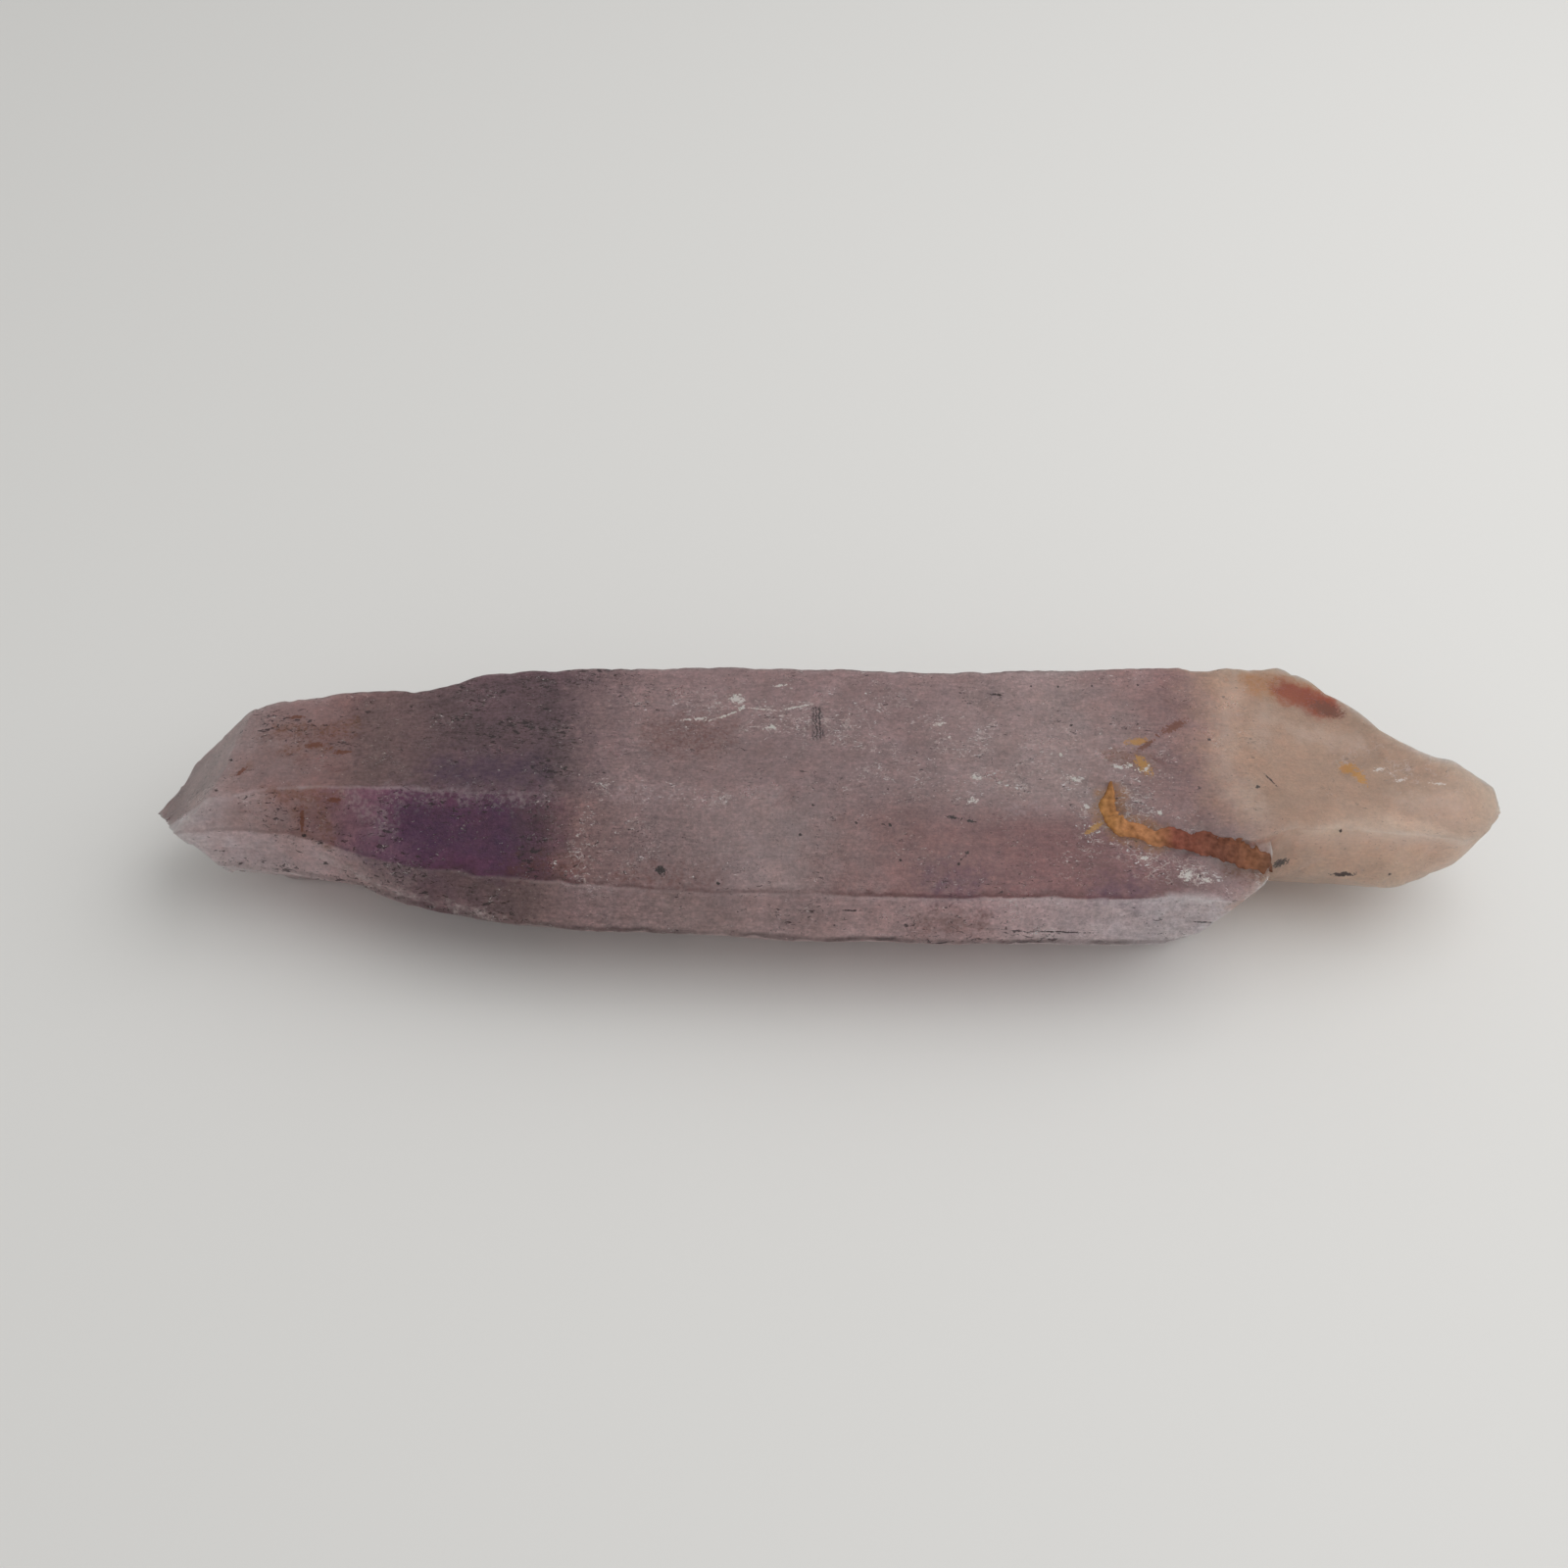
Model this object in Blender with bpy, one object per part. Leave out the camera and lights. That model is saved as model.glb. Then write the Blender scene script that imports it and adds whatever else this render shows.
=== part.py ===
"""A raw amethyst crystal and the milky quartz crystal that it grew on, as one solid.

The tables are in millimetres. X runs along the crystal, from its point to its broken base.
Y runs from front to back, and Z is up from the prism face that it rests on.
"""

import math
import random

import bmesh
import bpy
from mathutils import Vector, noise

MM = 0.001
SEED = 11

# The long edges of the amethyst, from the point to the base. Faces lie between one edge and the
# next, in this order around the crystal: top, upper front, front, front underside, the face that
# it rests on, back underside and back.
AMETHYST_EDGES = {
    "back_top": [(-38.0, -0.4, 9.9), (-31.2, 1.7, 9.9), (-30.0, 2.3, 10.0), (-26.3, 2.9, 10.0),
                 (-20.4, 3.3, 10.0), (-19.0, 4.0, 10.0), (-17.3, 4.7, 10.0), (-11.6, 5.0, 10.0),
                 (0.0, 5.0, 10.0), (9.2, 4.6, 10.0), (19.1, 4.9, 10.0), (24.0, 5.1, 9.9),
                 (27.0, 5.2, 9.5), (29.0, 5.2, 9.1)],
    "top_ridge": [(-38.0, -6.3, 9.9), (-32.1, -4.75, 9.9), (-30.3, -4.6, 10.0), (-28.6, -4.25, 10.1),
                  (-17.4, -4.2, 10.3), (-10.9, -4.2, 10.3), (3.8, -4.6, 10.0), (10.9, -4.7, 9.7),
                  (21.8, -4.7, 9.5), (25.0, -4.7, 9.2), (29.0, -4.7, 8.6)],
    "front_ridge": [(-38.0, -6.4, 7.6), (-33.9, -6.0, 8.0), (-30.9, -5.7, 8.1), (-28.2, -6.0, 8.2),
                    (-25.4, -6.7, 8.1), (-22.2, -7.6, 8.1), (-17.1, -8.7, 8.0), (-12.4, -9.2, 8.2),
                    (-5.9, -9.8, 8.4), (3.8, -10.3, 8.6), (22.3, -10.8, 8.7), (29.0, -11.0, 8.5)],
    "front_waist": [(-38.0, -6.7, 5.4), (-32.2, -6.5, 5.4), (-30.4, -6.9, 5.4), (-27.8, -7.2, 5.3),
                    (-24.6, -7.9, 5.4), (-21.9, -9.2, 5.4), (-17.2, -10.3, 5.5), (-10.9, -10.9, 5.5),
                    (0.0, -11.6, 5.6), (10.8, -11.8, 5.5), (29.0, -11.9, 5.5)],
    "front_floor": [(-38.0, -3.1, 0.0), (-28.0, -3.5, 0.0), (-24.6, -4.1, 0.0), (-21.7, -5.3, 0.0),
                    (-17.2, -6.4, 0.0), (-10.9, -7.0, 0.0), (0.0, -7.7, 0.0), (10.8, -7.9, 0.0),
                    (29.0, -8.0, 0.0)],
    "back_floor": [(-38.0, 0.6, 0.0), (-30.7, 1.4, 0.0), (-20.4, 1.9, 0.0), (-17.3, 2.6, 0.0),
                   (-11.6, 2.9, 0.0), (29.0, 2.9, 0.0)],
    "back_waist": [(-38.0, 2.4, 6.0), (-30.7, 4.0, 6.2), (-20.4, 5.1, 6.3), (-17.3, 6.4, 6.5),
                   (-11.6, 6.8, 6.6), (29.0, 6.8, 6.4)],
}
AMETHYST_PANELS = (11, 7, 4, 7, 9, 7, 4)
AMETHYST_SPAN = (-38.0, 29.0)

# The faces of the point and of the broken end: a place on each and the way it faces.
AMETHYST_CUTS = {
    "point_top": ((-31.1, 0.8, 10.0), (-0.661, 0.13, 0.739)),
    "point_front": ((-36.9, -2.6, 5.5), (-0.63, -0.70, -0.33)),
    "point_back": ((-36.9, -2.5, 5.5), (-0.80, 0.60, -0.03)),
    "point_back_upper": ((-35.0, 0.3, 6.8), (-0.50, 0.86, 0.15)),
    "point_under": ((-36.9, -2.6, 5.5), (-0.60, 0.0, -0.80)),
    "corner_back_left": ((-30.7, 2.0, 10.0), (-0.35, 0.60, 0.72)),
    "end_slanted": ((24.0, -10.5, 6.0), (0.62, -0.70, -0.35)),
    "end_corner": ((21.8, -11.8, 6.0), (0.29, -0.82, -0.49)),
    "end_inside": ((27.0, -9.0, 8.8), (0.95, -0.05, -0.30)),
}

# The long edges of the milky quartz, from inside the amethyst to its broken, rounded end.
QUARTZ_EDGES = {
    "back_top": [(16.0, 4.0, 8.6), (24.0, 4.9, 9.2), (27.0, 5.6, 9.8), (29.5, 5.7, 9.3),
                 (30.9, 5.2, 9.1), (32.0, 4.1, 9.1), (33.5, 2.6, 9.1), (34.9, 1.2, 9.1),
                 (36.8, -0.7, 9.1), (38.7, -1.2, 9.1), (39.9, -1.7, 8.6), (40.8, -2.0, 8.0),
                 (41.5, -2.2, 7.1), (42.0, -2.6, 6.4)],
    "top_ridge": [(16.0, -4.6, 8.4), (21.0, -6.2, 8.9), (23.6, -7.1, 9.35), (25.5, -7.5, 9.4),
                  (26.8, -7.0, 9.2), (28.2, -6.3, 9.1),
                  (31.4, -6.3, 8.8), (33.9, -6.3, 8.6), (36.9, -6.4, 8.3), (38.4, -6.6, 7.95),
                  (39.9, -5.6, 7.6), (41.2, -4.0, 6.9), (42.0, -3.1, 6.2)],
    "front_waist": [(16.0, -6.5, 5.0), (23.5, -8.3, 5.2), (26.5, -7.7, 5.2), (28.5, -6.8, 5.0),
                    (31.6, -7.0, 5.0), (33.8, -7.9, 5.0),
                    (36.2, -7.5, 5.0), (38.4, -6.1, 5.0), (39.8, -4.9, 5.0), (41.0, -3.8, 5.0),
                    (42.0, -3.0, 5.4)],
    "front_under": [(16.0, -4.5, 1.6), (28.0, -4.9, 1.8), (33.8, -5.6, 1.9), (37.0, -4.8, 2.2),
                    (39.5, -3.8, 3.0), (41.2, -3.2, 4.0), (42.0, -2.8, 4.9)],
    "back_under": [(16.0, 3.0, 1.6), (28.0, 3.2, 1.8), (30.5, 2.6, 1.8), (33.5, 0.8, 2.0),
                   (36.8, -1.2, 2.2), (39.5, -2.0, 3.0), (41.2, -2.5, 4.0), (42.0, -2.7, 4.9)],
    "back_waist": [(16.0, 5.6, 5.4), (28.0, 6.5, 5.4), (30.5, 6.0, 5.4), (33.0, 4.1, 5.4),
                   (35.5, 2.0, 5.4), (38.0, 0.3, 5.4), (40.2, -0.9, 5.4), (42.0, -2.4, 5.6)],
}
QUARTZ_PANELS = (11, 4, 4, 6, 4, 4)
QUARTZ_SPAN = (16.0, 42.0)

# The spacing of the outlines and of the points on the cut faces, and the shortest edge kept.
STATION_PITCH = 0.9
CAP_PITCH = 1.0
LARGEST_CAP_FACE = 1.7
PLANE_TOLERANCE = 0.01
SHORTEST_EDGE = 0.12
THINNEST_FACE = 0.02

# Below this height the surface stays flat, so that the crystal rests on a whole face.
REST_BAND = 0.4

# Chips along the edges, where two faces meet at more than the angle.
EDGE_ANGLE = math.radians(22.0)
CHIP_DEPTH = 0.28
CHIP_SPACING = 1.6
CHIP_SHARE = 0.15

# Growth ledges across the faces: how many levels, how deep they reach and how far apart they lie.
LEDGE_LEVELS = 4
LEDGE_DEPTH = 0.10
LEDGE_SPACING = (5.0, 9.0, 9.0)

# The rough break at the end of the milky quartz: where it starts and how fast it grows rough.
BREAK_START = 28.0
BREAK_FADE = 8.0
BREAK_DEPTH = 0.35
BREAK_SPACING = 2.2

# Etch pits.
PIT_COUNT = 80
PIT_DEPTH = 0.16

# The groove where the two crystals meet on top, from its inner end to the slanted end.
GROOVE = [(18.3, -4.2, 9.5), (17.9, -5.2, 9.4), (18.5, -6.1, 9.3), (20.5, -6.9, 9.2),
          (23.5, -7.5, 9.1), (24.7, -8.0, 9.0), (27.1, -8.8, 8.8)]
GROOVE_HALF_WIDTH = 0.8
GROOVE_DEPTH = 0.3


def clear_objects():
    for thing in list(bpy.data.objects):
        bpy.data.objects.remove(thing, do_unlink=True)


def place_along(edge, x):
    """The point of a long edge at the distance x along the crystal."""
    for (x0, y0, z0), (x1, y1, z1) in zip(edge, edge[1:]):
        if x <= x1:
            share = (x - x0) / (x1 - x0)
            return Vector((x, y0 + (y1 - y0) * share, z0 + (z1 - z0) * share))
    return Vector(edge[-1])


def ring_points(edges, panels, x):
    """The outline of the crystal at x, with each face split into the panels it is given."""
    corners = [place_along(edge, x) for edge in edges.values()]
    points = []
    for here, there, count in zip(corners, corners[1:] + corners[:1], panels):
        points += [here.lerp(there, step / count) for step in range(count)]
    return points


def loft(edges, panels, span):
    """A closed prism through the outlines at even stations along the crystal."""
    solid = bmesh.new()
    count = round((span[1] - span[0]) / STATION_PITCH)
    stations = [span[0] + (span[1] - span[0]) * step / count for step in range(count + 1)]
    rings = [[solid.verts.new(point) for point in ring_points(edges, panels, x)] for x in stations]
    for ring, following in zip(rings, rings[1:]):
        for i in range(len(ring)):
            j = (i + 1) % len(ring)
            solid.faces.new((ring[i], ring[j], following[j], following[i]))
    solid.faces.new(rings[0])
    solid.faces.new(list(reversed(rings[-1])))
    bmesh.ops.recalc_face_normals(solid, faces=solid.faces)
    return solid


def cut(solid, place, facing):
    """Takes away what lies beyond a flat face and closes the solid with that face."""
    geometry = solid.verts[:] + solid.edges[:] + solid.faces[:]
    result = bmesh.ops.bisect_plane(solid, geom=geometry, dist=PLANE_TOLERANCE, clear_outer=True,
                                    plane_co=Vector(place), plane_no=Vector(facing).normalized())
    rim = [item for item in result["geom_cut"] if isinstance(item, bmesh.types.BMEdge)]
    bmesh.ops.holes_fill(solid, edges=rim, sides=0)


def split_caps(solid):
    """Splits the large faces of the cuts, so that wear can be shaped on them too."""
    for axis in (Vector((1, 0, 0)), Vector((0, 1, 0)), Vector((0, 0, 1))):
        low = min(vertex.co.dot(axis) for vertex in solid.verts)
        high = max(vertex.co.dot(axis) for vertex in solid.verts)
        for step in range(1, int((high - low) / CAP_PITCH) + 1):
            level = low + step * CAP_PITCH
            caps = [face for face in solid.faces if is_large_cap(face)]
            edges = {edge for face in caps for edge in face.edges}
            corners = {vertex for face in caps for vertex in face.verts}
            bmesh.ops.bisect_plane(solid, geom=caps + list(edges) + list(corners), dist=PLANE_TOLERANCE,
                                   plane_co=axis * level, plane_no=axis)


def is_large_cap(face):
    resting = all(vertex.co.z < REST_BAND for vertex in face.verts)
    return face.calc_area() > LARGEST_CAP_FACE and not resting


def new_object(name, solid):
    mesh = bpy.data.meshes.new(name)
    solid.to_mesh(mesh)
    solid.free()
    thing = bpy.data.objects.new(name, mesh)
    bpy.context.scene.collection.objects.link(thing)
    return thing


def grow_together(host, guest):
    """Joins two crystals that overlap into one solid."""
    union = host.modifiers.new("grown_together", "BOOLEAN")
    union.operation = "UNION"
    union.solver = "EXACT"
    union.object = guest
    depsgraph = bpy.context.evaluated_depsgraph_get()
    joined = bmesh.new()
    joined.from_object(host, depsgraph)
    for thing in (host, guest):
        bpy.data.objects.remove(thing, do_unlink=True)
    return joined


def clamp(value):
    return min(max(value, 0.0), 1.0)


def distance_to_groove(point):
    shortest = math.inf
    for start, end in zip(GROOVE, GROOVE[1:]):
        start, end = Vector(start), Vector(end)
        along = end - start
        share = clamp((point - start).dot(along) / along.length_squared)
        shortest = min(shortest, (start + along * share - point).length)
    return shortest


def wear_depth(vertex, sharpness):
    """How deep the surface lies below its flat face at a vertex."""
    point = vertex.co
    depth = 0.0
    if sharpness > EDGE_ANGLE:
        depth += CHIP_DEPTH * clamp(noise.noise(point / CHIP_SPACING) + CHIP_SHARE)
    terrace = noise.noise(Vector(place / size for place, size in zip(point, LEDGE_SPACING)))
    depth += LEDGE_DEPTH * math.floor(LEDGE_LEVELS * (terrace + 1.0)) / LEDGE_LEVELS
    broken = clamp((point.x - BREAK_START) / BREAK_FADE)
    depth += broken * BREAK_DEPTH * (0.5 + noise.noise(point / BREAK_SPACING))
    depth += GROOVE_DEPTH * clamp(1.0 - distance_to_groove(point) / GROOVE_HALF_WIDTH)
    return depth


def edge_sharpness(vertex):
    angles = [edge.calc_face_angle(0.0) for edge in vertex.link_edges]
    return max(angles, default=0.0)


def weather(solid):
    """Growth ledges, pits, chipped edges and the rough break, all cut into the flat faces."""
    solid.normal_update()
    sharpness = {vertex: edge_sharpness(vertex) for vertex in solid.verts}
    pitted = random.Random(SEED).sample(range(len(solid.verts)), PIT_COUNT)
    solid.verts.ensure_lookup_table()
    pits = {solid.verts[index] for index in pitted if sharpness[solid.verts[index]] < EDGE_ANGLE}
    moves = {}
    for vertex in solid.verts:
        if vertex.co.z < REST_BAND:
            continue
        depth = wear_depth(vertex, sharpness[vertex])
        if vertex in pits:
            depth += PIT_DEPTH
        moves[vertex] = -vertex.normal * depth
    for vertex, move in moves.items():
        vertex.co += move


def tidy_mesh(solid):
    bmesh.ops.remove_doubles(solid, verts=solid.verts, dist=SHORTEST_EDGE)
    bmesh.ops.dissolve_degenerate(solid, edges=solid.edges, dist=THINNEST_FACE)
    bmesh.ops.triangulate(solid, faces=solid.faces)
    bmesh.ops.recalc_face_normals(solid, faces=solid.faces)


def to_frame(solid):
    """Moves the origin to the middle of the footprint, on the surface, and turns mm into metres."""
    xs = [vertex.co.x for vertex in solid.verts]
    ys = [vertex.co.y for vertex in solid.verts]
    middle = Vector(((min(xs) + max(xs)) / 2.0, (min(ys) + max(ys)) / 2.0, 0.0))
    for vertex in solid.verts:
        vertex.co = (vertex.co - middle) * MM


def quartz_material():
    material = bpy.data.materials.new("amethyst_quartz")
    material.use_nodes = True
    shader = material.node_tree.nodes["Principled BSDF"]
    shader.inputs["Base Color"].default_value = (0.27, 0.18, 0.19, 1.0)
    shader.inputs["Roughness"].default_value = 0.35
    shader.inputs["Metallic"].default_value = 0.0
    shader.inputs["IOR"].default_value = 1.544
    return material


def grown_crystal():
    """Both crystals in one solid, in the millimetres of the tables."""
    amethyst = loft(AMETHYST_EDGES, AMETHYST_PANELS, AMETHYST_SPAN)
    for place, facing in AMETHYST_CUTS.values():
        cut(amethyst, place, facing)
    split_caps(amethyst)
    bmesh.ops.triangulate(amethyst, faces=amethyst.faces)
    quartz = loft(QUARTZ_EDGES, QUARTZ_PANELS, QUARTZ_SPAN)
    bmesh.ops.triangulate(quartz, faces=quartz.faces)
    crystal = grow_together(new_object("amethyst", amethyst), new_object("quartz", quartz))
    tidy_mesh(crystal)
    weather(crystal)
    return crystal


def build_crystal():
    crystal = grown_crystal()
    to_frame(crystal)
    thing = new_object("amethyst_crystal", crystal)
    thing.data.materials.append(quartz_material())


clear_objects()
build_crystal()
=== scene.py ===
import math

import bpy
import numpy as np
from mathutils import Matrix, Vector, kdtree, noise


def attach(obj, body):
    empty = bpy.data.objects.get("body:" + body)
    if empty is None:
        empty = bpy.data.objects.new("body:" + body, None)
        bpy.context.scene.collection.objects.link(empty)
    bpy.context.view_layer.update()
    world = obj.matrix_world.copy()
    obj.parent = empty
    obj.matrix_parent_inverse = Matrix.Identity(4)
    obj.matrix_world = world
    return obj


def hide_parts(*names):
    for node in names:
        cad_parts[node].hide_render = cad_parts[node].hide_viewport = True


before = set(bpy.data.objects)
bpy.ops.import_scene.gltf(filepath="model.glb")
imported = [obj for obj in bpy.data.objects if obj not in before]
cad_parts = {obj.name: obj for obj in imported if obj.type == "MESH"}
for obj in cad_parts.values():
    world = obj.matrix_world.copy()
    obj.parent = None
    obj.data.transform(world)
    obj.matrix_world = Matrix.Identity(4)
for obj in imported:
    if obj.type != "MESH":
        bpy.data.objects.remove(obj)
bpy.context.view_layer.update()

MM = 0.001

# The stone's shape
# One raw crystal of amethyst, grown together with the milky quartz at its right end. It was
# broken off its rock and never cut or polished: flat growth faces, etched and chipped by wear.
WELD = 0.001 * MM
FINE_LEVELS = 2
SHARP_ANGLE = math.radians(17)
SMOOTH_PASSES = 60
EDGE_PASSES = 3
SHADE_ANGLE = math.radians(32)

bpy.ops.object.select_all(action="DESELECT")
cad_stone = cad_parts["amethyst_crystal"]
stone = bpy.data.objects.new("raw_amethyst", cad_stone.data.copy())
bpy.context.collection.objects.link(stone)
stone.select_set(True)
bpy.context.view_layer.objects.active = stone

bpy.ops.object.mode_set(mode="EDIT")
bpy.ops.mesh.select_all(action="SELECT")
bpy.ops.mesh.remove_doubles(threshold=WELD)
bpy.ops.object.mode_set(mode="OBJECT")

finer = stone.modifiers.new("finer", "SUBSURF")
finer.subdivision_type = "SIMPLE"
finer.levels = FINE_LEVELS
finer.render_levels = FINE_LEVELS
bpy.ops.object.modifier_apply(modifier=finer.name)


def vertex_vectors(mesh, what):
    """The places or the normals of a mesh's points, as rows of three numbers."""
    rows = np.empty(len(mesh.vertices) * 3)
    if what == "normal":
        mesh.vertex_normals.foreach_get("vector", rows)
    else:
        mesh.vertices.foreach_get("co", rows)
    return rows.reshape(-1, 3)


def sharp_points(mesh, angle):
    """True for each point that lies on an edge where two faces meet at more than the angle."""
    face_of_edge = {}
    for face in mesh.polygons:
        for key in face.edge_keys:
            face_of_edge.setdefault(key, []).append(face.normal)
    sharp = np.zeros(len(mesh.vertices), dtype=bool)
    for key, normals in face_of_edge.items():
        if len(normals) == 2 and normals[0].angle(normals[1], 0.0) > angle:
            sharp[list(key)] = True
    return sharp


on_edge = sharp_points(stone.data, SHARP_ANGLE)
edge_lines = stone.vertex_groups.new(name="edge_lines")
edge_lines.add([int(i) for i in np.flatnonzero(on_edge)], 1.0, "REPLACE")
open_faces = stone.vertex_groups.new(name="open_faces")
open_faces.add([int(i) for i in np.flatnonzero(~on_edge)], 1.0, "REPLACE")
smoother = stone.modifiers.new("smoother", "SMOOTH")
smoother.factor = 0.5
smoother.iterations = SMOOTH_PASSES
smoother.vertex_group = open_faces.name
bpy.ops.object.modifier_apply(modifier=smoother.name)
wear = stone.modifiers.new("wear", "SMOOTH")
wear.factor = 0.5
wear.iterations = EDGE_PASSES
wear.vertex_group = edge_lines.name
bpy.ops.object.modifier_apply(modifier=wear.name)

# At the back, the two crystals' tops meet in a corner that is worn round.
WORN_CORNER = Vector((24.0, 7.5, 9.5)) * MM
WORN_REACH = 3.0 * MM
WORN_PASSES = 60
worn = stone.vertex_groups.new(name="worn_corner")
for point in stone.data.vertices:
    gap = (point.co - WORN_CORNER).length
    if gap < WORN_REACH:
        # In full to half the reach, then less and less.
        worn.add([point.index], min(1.0, 2 - 2 * gap / WORN_REACH), "REPLACE")
rounder = stone.modifiers.new("rounder", "SMOOTH")
rounder.factor = 0.5
rounder.iterations = WORN_PASSES
rounder.vertex_group = worn.name
bpy.ops.object.modifier_apply(modifier=rounder.name)

places = vertex_vectors(stone.data, "place") / MM
normals = vertex_vectors(stone.data, "normal")

edge_tree = kdtree.KDTree(int(on_edge.sum()))
for count, index in enumerate(np.flatnonzero(on_edge)):
    edge_tree.insert(places[index], count)
edge_tree.balance()
from_edge = np.array([edge_tree.find(place)[2] for place in places])


def field(spacing, seed, octaves=1):
    """Smooth noise from -1 to 1 at every point of the stone, with a spacing in mm on each axis."""
    offset = Vector((17.3 * seed, 5.1 * seed, 9.7 * seed))
    scale = np.array([1 / step for step in spacing])
    values = np.zeros(len(places))
    for octave in range(octaves):
        scaled = places * scale * 2 ** octave
        part = [noise.noise(Vector(place) + offset) for place in scaled]
        values += np.array(part) / 2 ** octave
    return values


def ramp(value, start, end):
    """From 0 at start to 1 at end, eased at both."""
    share = np.clip((value - start) / (end - start), 0, 1)
    return share * share * (3 - 2 * share)


# Wear and growth marks, as depths below the growth faces, all in mm. The two levels of pits and
# chips are the noise at which one starts and at which it is at its full depth.
GRAIN_SPACING = (0.45, 0.45, 0.45)
GRAIN_DEPTH = 0.012
PIT_SPACING = (1.1, 0.8, 0.8)
PIT_LEVELS = (0.32, 0.6)
PIT_DEPTH = 0.03
STRIPE_SPACING = (0.9, 9.0, 9.0)
STRIPE_DEPTH = 0.02
CHIP_SPACING = (0.9, 0.9, 0.9)
CHIP_LEVELS = (0.15, 0.6)
CHIP_REACH = 0.5
CHIP_DEPTH = 0.08
REST_BAND = (0.35, 0.9)

grain = field(GRAIN_SPACING, 1, 2) * 0.5 + 0.5
pits = ramp(field(PIT_SPACING, 2), *PIT_LEVELS)
stripes = field(STRIPE_SPACING, 3) * 0.5 + 0.5
chips = ramp(field(CHIP_SPACING, 4, 2), *CHIP_LEVELS) * ramp(from_edge, CHIP_REACH, 0.0)
depth = GRAIN_DEPTH * grain + PIT_DEPTH * pits + STRIPE_DEPTH * stripes + CHIP_DEPTH * chips

# The point's front face lies below a growth step, which runs down and back along this line.
STEP_LINE = [(-40.0, 7.6), (-33.0, 6.9), (-28.4, 7.0), (-27.4, 6.6), (-26.4, 6.3), (-25.0, 6.2),
             (-20.0, 6.0), (-18.0, 5.5), (-15.0, 0.0)]
STEP_DEPTH = 0.15
STEP_RISE = 0.2
STEP_END = (-17.0, -22.0)
FRONT_TURN = (0.3, 0.5)
line_x, line_z = zip(*STEP_LINE)
below_line = np.interp(places[:, 0], line_x, line_z) - places[:, 2]
step = ramp(below_line, 0.0, STEP_RISE) * ramp(-normals[:, 1], *FRONT_TURN)
depth += STEP_DEPTH * step * ramp(places[:, 0], *STEP_END)
depth *= ramp(places[:, 2], *REST_BAND)
places -= normals * depth[:, None]
stone.data.vertices.foreach_set("co", (places * MM).ravel())
stone.data.update()

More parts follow.
